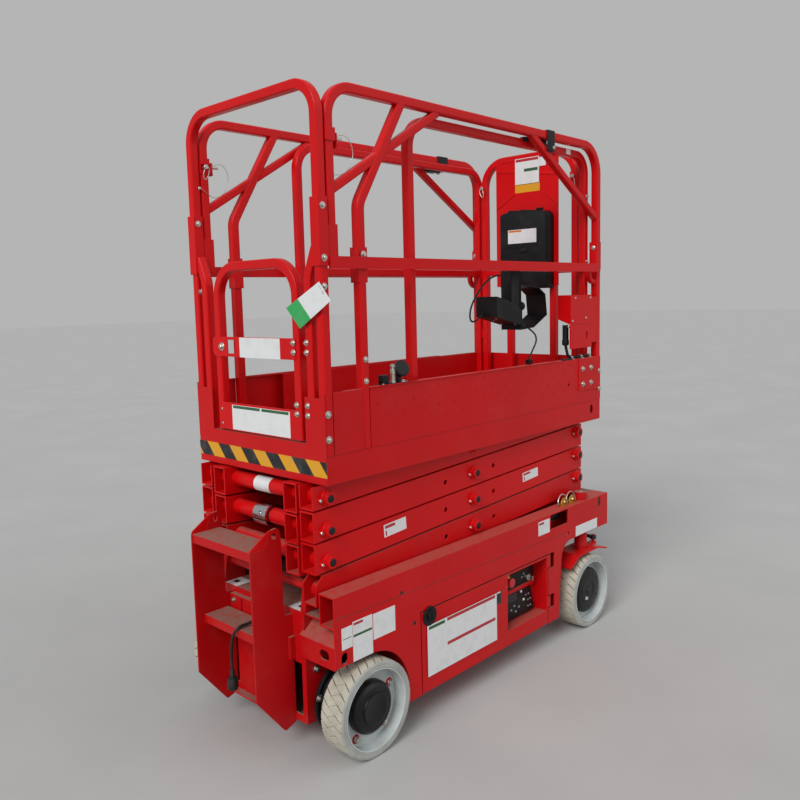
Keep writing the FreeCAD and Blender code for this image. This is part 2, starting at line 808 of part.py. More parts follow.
def chassis_core():
    """Middle box, deck, bulkheads, nose, pivot lugs and front beam."""
    half = core_half_width
    sill_inner = chassis_half_width - sill_width
    deck_low = deck_top_z - deck_plate
    rear = core_rear_x
    pieces = [
        box(rear, chassis_front_x - 6, -sill_inner, sill_inner, deck_low, deck_top_z),
        box(rear, rear + bulkhead, -half, half, 126.0, deck_low),
        box(rear, bay_rear_x, -half, half, core_bottom_z, core_bottom_z + bulkhead),
        box(rear, rear + bulkhead, -half, half, core_bottom_z, 126.0),
        box(bay_rear_x, spine_front_x, -spine_half_width, spine_half_width,
            core_bottom_z, core_bottom_z + bulkhead),
        box(spine_front_x - bulkhead, spine_front_x, -spine_half_width, spine_half_width,
            core_bottom_z, deck_low),
        box(chassis_front_x - 6, chassis_front_x, -sill_inner, sill_inner,
            nose_bottom_z, sill_top_z),
        box(chassis_front_x - 6 - nose_top_length, chassis_front_x - 6, -sill_inner, sill_inner,
            sill_top_z - 5, sill_top_z),
        box(front_axle_x - 36, front_axle_x + 36, -sill_inner, sill_inner, 432.0, deck_low),
        box(front_axle_x - 36, front_axle_x + 36, -kingpin_y + 20, kingpin_y - 20, 432.0,
            sill_top_z - sill_height - 1),
    ]
    for side in (-1, 1):
        ys = sorted((side * (half - bulkhead), side * half))
        pieces.append(box(rear, bay_rear_x + bulkhead, ys[0], ys[1], core_bottom_z, deck_low))
        ys = sorted((side * (spine_half_width - bulkhead), side * spine_half_width))
        pieces.append(box(bay_rear_x, spine_front_x, ys[0], ys[1], core_bottom_z, deck_low))
        ys = sorted((side * spine_half_width, side * (chassis_half_width - side_plate)))
        low_z = side_bottom_z + 2
        mid_z = sill_top_z - sill_height
        pieces.append(box(bay_rear_x, bay_rear_x + bulkhead, ys[0], ys[1], low_z, mid_z))
        pieces.append(box(arch_front_x - bulkhead, arch_front_x, ys[0], ys[1], low_z, mid_z))
        ys = sorted((side * (half - 10), side * (chassis_half_width - side_plate)))
        pieces.append(box(chassis_rear_x, chassis_rear_x + bulkhead, ys[0], ys[1],
                          flange_bottom_z, flange_top_z))
        slope = [(chassis_rear_x, flange_top_z, 0), (chassis_rear_x + bulkhead, flange_top_z, 0),
                 (rear + 66, mid_z - 1, 0), (rear + 60, mid_z - 1, 0)]
        pieces.append(side_profile(slope, ys[0], ys[1]))
        ys = sorted((side * (lug_y - lug_width), side * lug_y))
        lug = [(base_pin_x - 46, deck_top_z, 0), (base_pin_x + 46, deck_top_z, 0),
               (base_pin_x + lug_radius, base_pin_z + lug_radius, 29),
               (base_pin_x - lug_radius, base_pin_z + lug_radius, 29)]
        pieces.append(side_profile(lug, ys[0], ys[1]))
        housing = rod((front_axle_x, side * kingpin_y, king_housing_low_z),
                      (front_axle_x, side * kingpin_y, king_housing_top_z), kingpin_radius)
        pieces.append(housing)
    pieces.append(rod((rear, cord_points[0][1], cord_points[0][2]),
                      (rear - gland_length, cord_points[0][1], cord_points[0][2]), gland_radius))
    block_x, block_y0, block_y1, block_z0, block_z1 = bracket_block
    block = box(block_x, rear, block_y0, block_y1, block_z0, block_z1)
    groove = box(block_x - 1, block_x + 6, bracket_groove[0], bracket_groove[1],
                 block_z0 - 1, block_z1 - 8)
    pieces.append(block.cut(groove))
    shape = union(pieces)
    cuts = [cross_rod(base_pin_x, base_pin_z, -lug_y - 1, lug_y + 1, pin_radius + pin_fit)]
    for side in (-1, 1):
        for step in (-1, 1):
            y = side * flange_hole_y + step * flange_hole_length / 2.0
            cuts.append(rod((chassis_rear_x - 1, y, flange_hole_z),
                            (chassis_rear_x + bulkhead + 1, y, flange_hole_z), flange_hole_radius))
        ys = sorted(side * flange_hole_y + step * flange_hole_length / 2.0 for step in (-1, 1))
        cuts.append(box(chassis_rear_x - 1, chassis_rear_x + bulkhead + 1, ys[0], ys[1],
                        flange_hole_z - flange_hole_radius, flange_hole_z + flange_hole_radius))
        ys = sorted((side * core_slot_y[0], side * core_slot_y[1]))
        cuts.append(box(rear - 1, rear + bulkhead + 1, ys[0], ys[1], core_slot_z[0], core_slot_z[1]))
        cuts.append(rod((front_axle_x, side * kingpin_y, king_housing_low_z - 1),
                        (front_axle_x, side * kingpin_y, king_stub_top_z + 2),
                        king_stub_radius + pin_fit))
    return shape.cut(cuts)


def slide_guides():
    """Pair of slotted guides on the deck for the front rollers of the lowest inner arms."""
    roller = guide_roller_radius + guide_clearance
    slot_rear = base_pin_x + arm_length * math.cos(math.radians(rest_angle + lift_range))
    pieces = []
    for side in (-1, 1):
        ys = sorted((side * (guide_y - guide_width), side * guide_y))
        guide = box(slot_rear - guide_end_room, slide_pin_x + guide_end_room, ys[0], ys[1],
                    deck_top_z + guide_seat_gap, guide_top_z)
        cuts = [box(slot_rear, slide_pin_x, ys[0] - 1, ys[1] + 1, base_pin_z - roller,
                    base_pin_z + roller),
                cross_rod(slot_rear, base_pin_z, ys[0] - 1, ys[1] + 1, roller),
                cross_rod(slide_pin_x, base_pin_z, ys[0] - 1, ys[1] + 1, roller)]
        pieces.append(guide.cut(cuts))
    return Part.makeCompound(pieces)


def entry_ladder():
    """Ladder plates with their eyes and the two treads."""
    outer = ladder_half_width
    outline = [
        (ladder_rear_x, ladder_low_z, 0),
        (ladder_foot_x, ladder_foot_z, 10),
        (core_rear_x, ladder_foot_z + 16, 10),
        (core_rear_x, ladder_notch_z, 0),
        (ladder_upper_x, ladder_notch_z + 4, 8),
        (ladder_upper_x, ladder_ear_z, 0),
        (ladder_ear_x + ladder_ear_radius * 0.7, ladder_ear_z + ladder_ear_radius, 18),
        (ladder_ear_x - ladder_ear_radius * 0.6, ladder_ear_z + ladder_ear_radius * 0.8, 18),
        (ladder_ear_x - ladder_ear_radius - 12, ladder_top_z, 0),
        (ladder_rear_x, ladder_top_z, 8),
    ]
    plate = side_profile(outline, outer - ladder_plate, outer)
    plate = plate.cut(cross_rod(ladder_ear_x, ladder_ear_z, outer - ladder_plate - 1, outer + 1,
                                ladder_ear_hole))
    pieces = both_sides(plate)
    inner = outer - ladder_plate
    for top_z, rear_x, front_x in step_table:
        pieces.append(box(rear_x, front_x, -inner, inner, top_z - step_plate, top_z))
        pieces.append(box(rear_x, rear_x + step_plate, -inner, inner, top_z - step_lip, top_z))
        pieces.append(box(front_x - step_plate, front_x, -inner, inner, top_z - step_lip, top_z))
    pieces.append(box(core_rear_x - foot_plate_depth, core_rear_x, -inner, inner,
                      ladder_foot_z + 18, ladder_foot_z + 24))
    pieces.extend(both_sides(box(core_rear_x - ladder_tab_length, core_rear_x, outer,
                                 outer + ladder_tab_width, ladder_tab_z[0], ladder_tab_z[1])))
    return union(pieces)


def rear_axle():
    """Rear stub axles with their brake drums."""
    pieces = []
    for side in (-1, 1):
        z = wheel_radius
        pieces.append(cross_rod(rear_axle_x, z, *sorted((side * core_half_width, side * drum_inner_y)),
                                axle_radius))
        pieces.append(cross_rod(rear_axle_x, z, *sorted((side * drum_inner_y, side * drum_outer_y)),
                                drum_radius))
        pieces.append(cross_rod(rear_axle_x, z, *sorted((side * drum_outer_y, side * seat_end_y)),
                                wheel_seat_radius))
    shape = pieces[0].fuse(pieces[1:3])
    other = pieces[3].fuse(pieces[4:6])
    return Part.makeCompound([shape.removeSplitter(), other.removeSplitter()])


# Steered front end

def knuckle():
    """Left knuckle: kingpin, fender plate, leg, steering arm and drive motor."""
    x = front_axle_x
    y = kingpin_y
    low = yoke_top_z - yoke_plate
    outline = [
        (x - fender_reach_rear, low - fender_drop_rear, 0),
        (x - fender_flat, low, 20),
        (x + fender_flat - 8, low, 20),
        (x + fender_reach_front, low - fender_drop_front, 0),
        (x + fender_reach_front, low - fender_drop_front + yoke_plate, 0),
        (x + fender_flat - 8, yoke_top_z, 26),
        (x - fender_flat, yoke_top_z, 26),
        (x - fender_reach_rear, low - fender_drop_rear + yoke_plate, 0),
    ]
    fender = side_profile(outline, fender_inner_y, fender_outer_y)
    stem = box(x - yoke_leg_half, x + yoke_leg_half, yoke_leg_y - yoke_leg, fender_inner_y,
               low, yoke_top_z)
    leg = [
        (x - yoke_leg_half, low, 0),
        (x - motor_radius * 0.6, yoke_leg_bottom_z, 34),
        (x + motor_radius * 0.6, yoke_leg_bottom_z, 34),
        (x + yoke_leg_half, low, 0),
    ]
    pieces = [
        fender,
        stem,
        side_profile(leg, yoke_leg_y - yoke_leg, yoke_leg_y),
        rod((x, y, low), (x, y, king_stub_top_z), king_stub_radius),
        box(x, x + steer_arm, y - 16, y + 16, yoke_top_z, yoke_top_z + steer_arm_plate),
        rod((x + steer_arm, y, yoke_top_z), (x + steer_arm, y, yoke_top_z + steer_arm_plate), 16.0),
        rod((x + steer_arm, y, yoke_top_z), (x + steer_arm, y, tie_rod_z + 12), tie_pin_radius),
        cross_rod(x, wheel_radius, motor_inner_y, yoke_leg_y - yoke_leg, motor_radius * 0.8),
        cross_rod(x, wheel_radius, yoke_leg_y, motor_outer_y, motor_radius),
        cross_rod(x, wheel_radius, motor_outer_y, seat_end_y, wheel_seat_radius),
    ]
    return union(pieces)


def tie_rod():
    """Tie rod with an eye at each end."""
    x = front_axle_x + steer_arm
    pieces = [cross_rod(x, tie_rod_z, -kingpin_y + 10, kingpin_y - 10, tie_rod_radius)]
    bores = []
    for side in (-1, 1):
        y = side * kingpin_y
        pieces.append(rod((x, y, tie_rod_z - 8), (x, y, tie_rod_z + 8), tie_eye_radius))
        bores.append(rod((x, y, tie_rod_z - 9), (x, y, tie_rod_z + 9), tie_pin_radius + 0.05))
    return union(pieces).cut(bores)


def revolved(profile, x, z):
    """Solid turned about a wheel's axle from (y, radius) points."""
    points = [FreeCAD.Vector(x, p[0], z + p[1]) for p in profile]
    wire = Part.makePolygon(points + [points[0]])
    face = Part.Face(wire)
    return face.revolve(FreeCAD.Vector(x, 0, z), FreeCAD.Vector(0, 1, 0), 360)


def tyre(x):
    """Left tyre with chamfered shoulders."""
    y0 = tyre_outer_y - tyre_width
    profile = [
        (y0, tyre_bore_radius), (y0, wheel_radius - tyre_shoulder),
        (y0 + tyre_shoulder, wheel_radius), (tyre_outer_y - tyre_shoulder, wheel_radius),
        (tyre_outer_y, wheel_radius - tyre_shoulder), (tyre_outer_y, tyre_bore_radius),
    ]
    return revolved(profile, x, wheel_radius)


def rim(x, front):
    """Left rim with its web and hub."""
    outer = tyre_bore_radius - rim_gap
    inner = outer - rim_wall
    y0 = tyre_outer_y - tyre_width + rim_lip
    y1 = tyre_outer_y - rim_lip
    web = tyre_outer_y - rim_web_depth
    seat = wheel_seat_radius + 0.1
    if front:
        top = web + front_cap_height
        profile = [
            (y0, outer), (y0, inner), (web - rim_web, inner), (web - rim_web, seat),
            (seat_end_y + 1, seat), (seat_end_y + 1, 0), (top, 0),
            (top, front_cap_radius - 14), (top - 10, front_cap_radius), (web, front_cap_radius),
            (web, inner), (y1, inner), (y1, outer),
        ]
    else:
        top = web + hub_cap_height
        profile = [
            (y0, outer), (y0, inner), (web - rim_web, inner), (web - rim_web, seat),
            (seat_end_y + 1, seat), (seat_end_y + 1, 0), (top, 0), (top, hub_nose_radius - 3),
            (top - hub_nose_height, hub_nose_radius), (top - hub_nose_height - 5, hub_cap_radius - 12),
            (top - 22, hub_cap_radius), (web, hub_cap_radius),
            (web, inner), (y1, inner), (y1, outer),
        ]
    return revolved(profile, x, wheel_radius)


# Swing-out trays

def tray():
    """Left tray: outer door with hinge leaves, floor, low walls and latch."""
    outer = chassis_half_width
    inner = outer - door_plate
    x0 = door_rear_x
    x1 = door_front_x
    pieces = [
        box(x0, x1, inner, outer, door_bottom_z, door_top_z),
        box(tray_rear_x, tray_front_x, tray_inner_y, inner, tray_floor_z, tray_floor_z + tray_plate),
        box(tray_rear_x, tray_front_x, tray_inner_y, tray_inner_y + tray_plate,
            tray_floor_z, tray_floor_z + tray_wall_height),
        box(tray_rear_x, tray_rear_x + tray_plate, tray_inner_y, inner, tray_floor_z,
            tray_floor_z + tray_wall_height),
        box(tray_front_x - tray_plate, tray_front_x, tray_inner_y, inner, tray_floor_z,
            door_top_z - 20),
    ]
    pieces.append(cross_rod(latch_x, latch_z, inner, outer + 3, latch_radius))
    for low_z, high_z in tray_hinge_zs:
        z0 = low_z + tray_hinge_margin
        z1 = high_z - tray_hinge_margin
        pieces.append(box(x1, tray_hinge_x, inner, outer - 1, z0, z1))
        y = tray_hinge_y - 8
        pieces.append(rod((tray_hinge_x, y, z0), (tray_hinge_x, y, z1), tray_hinge_barrel))
    shape = union(pieces)
    for low_z, high_z in tray_hinge_zs:
        y = tray_hinge_y - 8
        shape = shape.cut(rod((tray_hinge_x, y, low_z), (tray_hinge_x, y, high_z),
                              tray_hinge_pin + 0.05))
    return shape


def tray_with_recess():
    """Tray whose door has the recess of the ground controls, before mirroring."""
    outer = chassis_half_width
    wall = 3.0
    pocket = plan_profile([
        (recess_rear_x, outer, 0), (recess_rear_x, recess_back_y, 0),
        (recess_front_x - recess_slope, recess_back_y, 0), (recess_front_x, outer, 0),
    ], recess_bottom_z, recess_top_z)
    shell = plan_profile([
        (recess_rear_x - wall, outer - 1, 0), (recess_rear_x - wall, recess_back_y - wall, 0),
        (recess_front_x - recess_slope + 1, recess_back_y - wall, 0), (recess_front_x + 3, outer - 1, 0),
    ], recess_bottom_z - wall, recess_top_z + wall)
    return tray().fuse(shell).cut(pocket).removeSplitter()


def ground_controls():
    """Controls in the recess: tilted keypad, upper panel, stop knob and key barrel."""
    x0 = recess_rear_x + panel_margin
    keypad = end_profile([
        (recess_back_y, keypad_low_z - keypad_lip, 0), (keypad_low_y, keypad_low_z, 0),
        (keypad_high_y, keypad_high_z, 0), (recess_back_y, keypad_high_z + keypad_lip, 0),
    ], x0, x0 + keypad_width)
    panel = union([
        box(x0, x0 + upper_panel_width, recess_back_y, upper_panel_y, upper_panel_low_z,
            upper_panel_high_z),
        cross_rod(stop_knob_x, stop_knob_z, upper_panel_y, stop_stem_y, stop_stem_radius),
        cross_rod(stop_knob_x, stop_knob_z, stop_stem_y, stop_face_y, stop_knob_radius),
        cross_rod(key_x, key_z, upper_panel_y, key_face_y, key_radius),
    ])
    return Part.makeCompound([keypad, panel])


def batteries():
    """Two battery blocks on the left tray."""
    blocks = []
    for i in range(2):
        x = battery_rear_x + i * (battery_length + battery_gap)
        blocks.append(box(x, x + battery_length, battery_inner_y, battery_inner_y + battery_width,
                          tray_floor_z + tray_plate, tray_floor_z + tray_plate + battery_height))
    return Part.makeCompound(blocks)


# Power cord

def cord_radii(points):
    """Largest bend radii that keep a straight stretch on every run."""
    vectors = [FreeCAD.Vector(*p) for p in points]
    radii = []
    for i in range(1, len(vectors) - 1):
        a = vectors[i] - vectors[i - 1]
        b = vectors[i + 1] - vectors[i]
        half_turn = a.getAngle(b) / 2.0
        radii.append(0.45 * min(a.Length, b.Length) / math.tan(half_turn))
    return radii


def power_cord():
    """Round cord with tangent bends."""
    radii = cord_radii(cord_points)
    print("cord bend radii", [round(r, 1) for r in radii])
    spine = path_wire(cord_points, radii)
    start = FreeCAD.Vector(*cord_points[0])
    along = FreeCAD.Vector(*cord_points[1]) - start
    circle = Part.Wire([Part.makeCircle(cord_radius, start, along)])
    solid = spine.makePipeShell([circle], True, True)
    section = math.pi * cord_radius ** 2
    print("cord volume", round(solid.Volume), "section times length", round(section * spine.Length))
    return solid


def power_plug():
    """Plug at the cord's free end."""
    end = FreeCAD.Vector(*cord_points[-1])
    along = (end - FreeCAD.Vector(*cord_points[-2])).normalize()
    grip = Part.makeCone(cord_radius + 3, plug_radius, 22.0, end, along)
    body = Part.makeCylinder(plug_radius, plug_length - 22.0, end + along * 22.0, along)
    return union([grip, body])


# Platform

def platform_deck():
    """Floor, skirts, toe boards, rear sill, roller channels and pivot lugs."""
    half = platform_half_width
    rear = platform_rear_x
    front = platform_front_x
    top = deck_floor_z
    pin_z = pin_height(level_count)
    pieces = [
        box(rear, front, -half + skirt_plate, half - skirt_plate, top - floor_plate, top),
        box(rear, rear + skirt_plate, -half + skirt_step, half - skirt_step, skirt_bottom_z, top),
        box(front - skirt_plate, front, -half + skirt_step, half - skirt_step, skirt_bottom_z, top),
    ]
    for x in rib_columns:
        pieces.append(box(x - rib_width / 2.0, x + rib_width / 2.0, -half + skirt_plate,
                          half - skirt_plate, rib_bottom_z, top - floor_plate))
    for side in (-1, 1):
        outer = side * half
        inner = side * (half - skirt_plate)
        ys = sorted((side * (half - skirt_step), side * (half - skirt_step - skirt_plate)))
        pieces.append(box(rear, front, ys[0], ys[1], skirt_bottom_z, crease_z))
        ys = sorted((outer, side * (half - skirt_step - skirt_plate)))
        pieces.append(box(rear, front, ys[0], ys[1], crease_z, crease_z + skirt_plate))
        ys = sorted((outer, inner))
        pieces.append(box(rear, front, ys[0], ys[1], crease_z + skirt_plate, toe_top_z))
        ys = sorted((inner, side * (half - toe_flange)))
        pieces.append(box(toe_flange_rear_x, front, ys[0], ys[1], toe_top_z - 4, toe_top_z))
        ys = sorted((side * (half - corner_plate_width), inner))
        pieces.append(box(rear, rear + skirt_plate, ys[0], ys[1], top, corner_plate_top_z))
        radius = roller_radius + roller_clearance
        ys = sorted((side * channel_inner_y, inner))
        pieces.append(box(channel_rear_x, channel_front_x, ys[0], ys[1],
                          pin_z - radius - 6, pin_z - radius))
        pieces.append(box(channel_rear_x, channel_front_x, ys[0], ys[1],
                          pin_z + radius, pin_z + radius + 6))
        ys = sorted((side * lug_plate_y, side * (lug_plate_y + lug_plate)))
        lug = [(base_pin_x - 30, top - floor_plate, 0), (base_pin_x - 26, pin_z - 26, 25),
               (base_pin_x + 26, pin_z - 26, 25), (base_pin_x + 60, top - floor_plate, 0)]
        pieces.append(side_profile(lug, ys[0], ys[1]))
        ys = sorted((side * (runner_y - runner_width / 2.0), side * (runner_y + runner_width / 2.0)))
        pieces.append(box(extension_floor_rear_x, front - skirt_plate, ys[0], ys[1], top,
                          extension_floor_z - runner_gap))
        ys = sorted((outer, outer + side * bracket_plate))
        pieces.append(box(bracket_rear_x, bracket_front_x, ys[0], ys[1], bracket_low_z, toe_top_z))
    pieces.append(cross_rod(base_pin_x, pin_z, -lug_plate_y - lug_plate, lug_plate_y + lug_plate,
                            pin_radius))
    shape = union(pieces)
    cuts = []
    slot_x, slot_z, slot_radius, slot_reach = side_slot
    hole_x, hole_z, hole_half = square_hole
    for side in (-1, 1):
        ys = sorted((side * (half - 2 * skirt_plate), side * (half + 1)))
        for z in (slot_z - slot_reach + slot_radius, slot_z + slot_reach - slot_radius):
            cuts.append(cross_rod(slot_x, z, ys[0], ys[1], slot_radius))
        cuts.append(box(slot_x - slot_radius, slot_x + slot_radius, ys[0], ys[1],
                        slot_z - slot_reach + slot_radius, slot_z + slot_reach - slot_radius))
        cuts.append(box(hole_x - hole_half, hole_x + hole_half, ys[0], ys[1],
                        hole_z - hole_half, hole_z + hole_half))
        for x in (side_front_leg_x, mid_post_x):
            ys = sorted((side * (side_rail_y - tube / 2.0 - 0.3), side * (half + 30)))
            cuts.append(box(x - tube / 2.0 - 0.3, x + tube / 2.0 + 0.3, ys[0], ys[1],
                            post_low_z, 1300.0))
        ys = sorted((side * (side_rail_y - tube / 2.0 - 0.3), side * (half + 30)))
        cuts.append(box(rear_leg_x - tube / 2.0 - 0.3, rear_leg_x + tube / 2.0 + 0.3, ys[0], ys[1],
                        post_low_z, 1300.0))
    return shape.cut(cuts)


def side_lower_rail():
    """Left lower rail: outer mid rail, posts, gussets and the sleeves of the upper frame."""
    y = side_rail_y
    face = y + tube / 2.0
    rear_x = rear_leg_x + tube / 2.0 + sleeve_gap
    half = sleeve_tube / 2.0
    bore = tube / 2.0 + 0.2
    pieces = [
        box(rear_x, side_front_leg_x - 4.0, face + sleeve_gap,
            face + mid_rail_depth, mid_rail_z - mid_rail_height / 2.0,
            mid_rail_z + mid_rail_height / 2.0),
        post(mid_post_x, y, post_low_z, mid_sleeve_bottom_z),
        post(side_front_leg_x, y, post_low_z, side_sleeve_low_z),
        bent_tube([(side_front_leg_x - 12.0, y, mid_rail_z - gusset_reach),
                   (side_front_leg_x - gusset_reach, y, mid_rail_z - gusset_reach),
                   (side_front_leg_x - gusset_reach, y, mid_rail_z)], [gusset_bend], (0, 1, 0),
                  gusset_tube),
    ]
    outer = []
    inner = []
    sleeves = (
        (side_rear_leg_x, side_sleeve_low_z, side_sleeve_top_z),
        (mid_post_x, mid_sleeve_bottom_z, mid_sleeve_top_z),
        (side_front_leg_x, side_sleeve_low_z, side_sleeve_top_z),
    )
    for x, low_z, high_z in sleeves:
        outer.append(box(max(x - half, rear_x), min(x + half, platform_front_x), y - half,
                         face + sleeve_gap, low_z, high_z))
        inner.append(box(x - bore, x + bore, y - bore, y + bore, upper_frame_low_z, high_z + 1))
    return union(pieces + outer).cut(inner)


def entry_frame():
    """Rear corner posts with their sleeves and the jamb tubes beside the gate."""
    pieces = []
    half = sleeve_tube / 2.0
    bore = tube / 2.0 + 0.2
    y = side_rail_y
    x = rear_leg_x
    side_post = post(x, y, post_low_z, rear_sleeve_low_z + 20)
    sleeve = box(x - half, x + tube / 2.0, y - half, y + half, rear_sleeve_low_z, rear_sleeve_top_z)
    hollow = box(x - bore, x + half, y - bore, y + bore, rear_frame_low_z, rear_sleeve_top_z + 1)
    jamb = bent_tube([(x, jamb_y, deck_floor_z + sleeve_gap), (x, jamb_y, jamb_bend_z),
                      (x, y - tube / 2.0, jamb_top_z)], [jamb_bend], (1, 0, 0))
    side = union([side_post, sleeve, jamb]).cut(hollow)
    for z0, z1 in gate_hinge_zs:
        pin = rod((gate_hinge_x, -gate_hinge_y, z0 - 14), (gate_hinge_x, -gate_hinge_y, z1 + 14), 5.0)
        arms = [box(x + 10, gate_hinge_x + 6, -gate_hinge_y - 6, jamb_y - 14, a, a + 8)
                for a in (z0 - 14, z1 + 6)]
        pieces.append(union([pin] + arms))
    near = mirrored(side).fuse([mirrored(p) for p in pieces])
    return Part.makeCompound([side, near.removeSplitter()])


def side_upper_frame():
    """Left upper frame: bent main tube, leaning middle post and two braces."""
    y = side_rail_y
    top = rail_top_z
    main = [(side_rear_leg_x, y, upper_frame_low_z), (side_rear_leg_x, y, top),
            (side_front_leg_x, y, top), (side_front_leg_x, y, upper_frame_low_z)]
    low = mid_rail_z + 30.0
    lean = [(mid_post_x, y, low), (mid_post_x, y, mid_post_bend_z), (mid_post_top_x, y, top)]
    pieces = [
        bent_tube(main, [rail_bend, front_rail_bend], (0, 1, 0)),
        bent_tube(lean, [70.0], (0, 1, 0)),
    ]
    for start, end in side_braces:
        pieces.append(bent_tube([(start[0], y, start[1]), (end[0], y, end[1])], [], (0, 1, 0),
                                brace_width))
    x = side_rear_leg_x
    half = collar / 2.0
    pieces.append(box(x - half, x + half, y - half, y + half, collar_low_z, collar_low_z + collar))
    return union(pieces)


def rear_upper_frame():
    """Rear upper frame: an arch across the entry."""
    x = rear_leg_x
    top = rear_top_z
    path = [(x, -side_rail_y, rear_frame_low_z), (x, -side_rail_y, top), (x, side_rail_y, top),
            (x, side_rail_y, rear_frame_low_z)]
    return bent_tube(path, [rail_bend, rail_bend], (1, 0, 0))


def entry_gate():
    """Arched gate with its lower sheet, middle plate and hinge barrels."""
    x = gate_x
    half = tube / 2.0
    low_y = gate_right_y + half
    high_y = gate_left_y - half
    path = [(x, low_y, gate_bottom_z), (x, low_y, gate_top_z), (x, high_y, gate_top_z),
            (x, high_y, gate_bottom_z)]
    pieces = [
        bent_tube(path, [gate_bend, gate_bend], (1, 0, 0)),
        box(x - half, x - half + 3, low_y, high_y, gate_bottom_z, gate_sheet_top_z),
        end_profile([(low_y, gate_plate_low_z, 0), (gate_plate_left_y, gate_plate_low_z, 20),
                     (gate_plate_left_y, gate_plate_top_z, 20), (low_y, gate_plate_top_z, 0)],
                    x - half - 3, x - half),
        box(x - half, x - half + 14, low_y, high_y, gate_bottom_z, gate_bottom_z + 3),
    ]
    slot = box(x - half - 4, x - half + 1, *gate_slot)
    bores = []
    for z0, z1 in gate_hinge_zs:
        pieces.append(rod((gate_hinge_x, gate_hinge_y, z0), (gate_hinge_x, gate_hinge_y, z1), 10.0))
        pieces.append(box(gate_hinge_x - 10, gate_hinge_x + 3, gate_hinge_y + 3, low_y,
                          z0 + 4, z1 - 4))
        bores.append(rod((gate_hinge_x, gate_hinge_y, z0 - 1), (gate_hinge_x, gate_hinge_y, z1 + 1),
                         5.05))
    return union(pieces).cut([slot] + bores)


def outlet_boxes():
    """Outlet box over a bent cover plate with an oval hole, on the right front post."""
    y0 = -platform_half_width
    face = y0 + cover_plate
    inner = -outlet_inner_y
    upper = end_profile([(y0, outlet_split_z, 0), (inner, outlet_split_z + outlet_slope, 0),
                         (inner, outlet_top_z, 0), (y0, outlet_top_z, 0)],
                        outlet_rear_x, outlet_front_x)
    lower = box(outlet_rear_x, outlet_front_x, y0, face, outlet_low_z, outlet_split_z)
    tab = box(outlet_front_x, side_front_leg_x - tube / 2.0, y0, face, outlet_low_z + 20,
              outlet_top_z - 10)
    hole = [box(795.0, 809.0, y0 - 1, face + 1, 1296.0, 1314.0)]
    for z in (1296.0, 1314.0):
        hole.append(cross_rod(802.0, z, y0 - 1, face + 1, 7.0))
    return union([upper, lower, tab]).cut(hole)


# Roll-out extension

def extension_deck():
    """Extension floor with its side and front toe boards."""
    y = extension_toe_y
    sheet = extension_toe_plate
    low = extension_floor_z
    front = extension_front_x
    floor = box(extension_floor_rear_x, front, -y, y, low, low + sheet)
    pieces = [floor, box(front - sheet, front, -y, y, low, toe_top_z)]
    for side in (-1, 1):
        ys = sorted((side * (y - sheet), side * y))
        pieces.append(box(extension_rear_x, front, ys[0], ys[1], low, toe_top_z))
    return union(pieces)


def extension_guardrail():
    """Front arch, side frames and the middle posts of the extension."""
    low = extension_floor_z + extension_toe_plate
    y = extension_rail_y
    top = extension_rail_top_z
    pieces = []
    for side in (-1, 1):
        path = [(extension_rail_rear_x, side * y, low + 100), (extension_rail_rear_x, side * y, top),
                (extension_leg_x, side * y, top), (extension_leg_x, side * y, low)]
        pieces.append(bent_tube(path, [rail_bend, 75.0], (0, 1, 0)))
        pieces.append(bent_tube([(extension_rail_rear_x + 14, side * y, mid_rail_z),
                                 (extension_leg_x - 14, side * y, mid_rail_z)], [], (0, 1, 0)))
        ys = sorted((side * (arch_leg_y + 14), side * (y - 14)))
        for z in (mid_rail_z, 1300.0):
            pieces.append(box(extension_leg_x - 6, extension_leg_x + 6, ys[0], ys[1], z - 20, z + 20))
    arch = [(arch_x, -arch_leg_y, low), (arch_x, -arch_leg_y, arch_top_z),
            (arch_x, arch_leg_y, arch_top_z), (arch_x, arch_leg_y, low)]
    pieces.append(bent_tube(arch, [arch_bend, arch_bend], (1, 0, 0)))
    pieces.append(bent_tube([(arch_x, -arch_leg_y + 14, mid_rail_z), (arch_x, arch_leg_y - 14, mid_rail_z)],
                            [], (1, 0, 0)))
    for y in panel_posts_y:
        pieces.append(post(arch_x, y, low, mid_rail_z - 14))
    return union(pieces)


def front_panel():
    """Red panel on the rear side of the front arch."""
    x1 = arch_x - tube / 2.0
    return box(x1 - panel_plate, x1, -panel_half_width, panel_half_width, panel_low_z, panel_top_z)


def document_box():
    """Document box with the top corners of its lid cut off."""
    x1 = arch_x - tube / 2.0 - panel_plate
    return end_profile(document_outline, x1 - document_depth, x1)


def control_box():
    """Platform control box with its hook, joystick and the guard ring round it, and a cable clip."""
    near = -control_near_y
    far = -control_far_y
    body = side_profile(control_outline, near, far)
    ring = side_profile(guard_outline, near, far - guard_step)
    ring = ring.cut(offset_profile(guard_outline, -guard_plate, near - 1, far + 1))
    strap_y = -extension_rail_y + tube / 2.0 + runner_gap
    rail_top = mid_rail_z + tube / 2.0 + runner_gap
    strap = box(strap_x[0], strap_x[1], strap_y, strap_y + guard_plate, strap_low_z,
                rail_top + guard_plate)
    hook = box(strap_x[0], strap_x[1], strap_y - tube, strap_y, rail_top, rail_top + guard_plate)
    stick_x, stick_y = joystick_place
    stick = rod((stick_x, stick_y, joystick_base_z), (stick_x, stick_y, joystick_top_z), 7.0)
    knob = Part.makeSphere(19.0, FreeCAD.Vector(stick_x, stick_y, joystick_top_z))
    boot = Part.makeCone(30.0, 12.0, 34.0, FreeCAD.Vector(stick_x, stick_y, joystick_base_z - 4))
    clip_x, clip_y = control_cable_points[-1][0], control_cable_points[-1][1]
    clip = box(clip_x - 14, clip_x + 14, clip_y - 8, clip_y + 8, toe_top_z,
               control_cable_points[-1][2] - control_cable_radius)
    return Part.makeCompound([union([body, ring, strap, hook, stick, knob, boot]), clip])


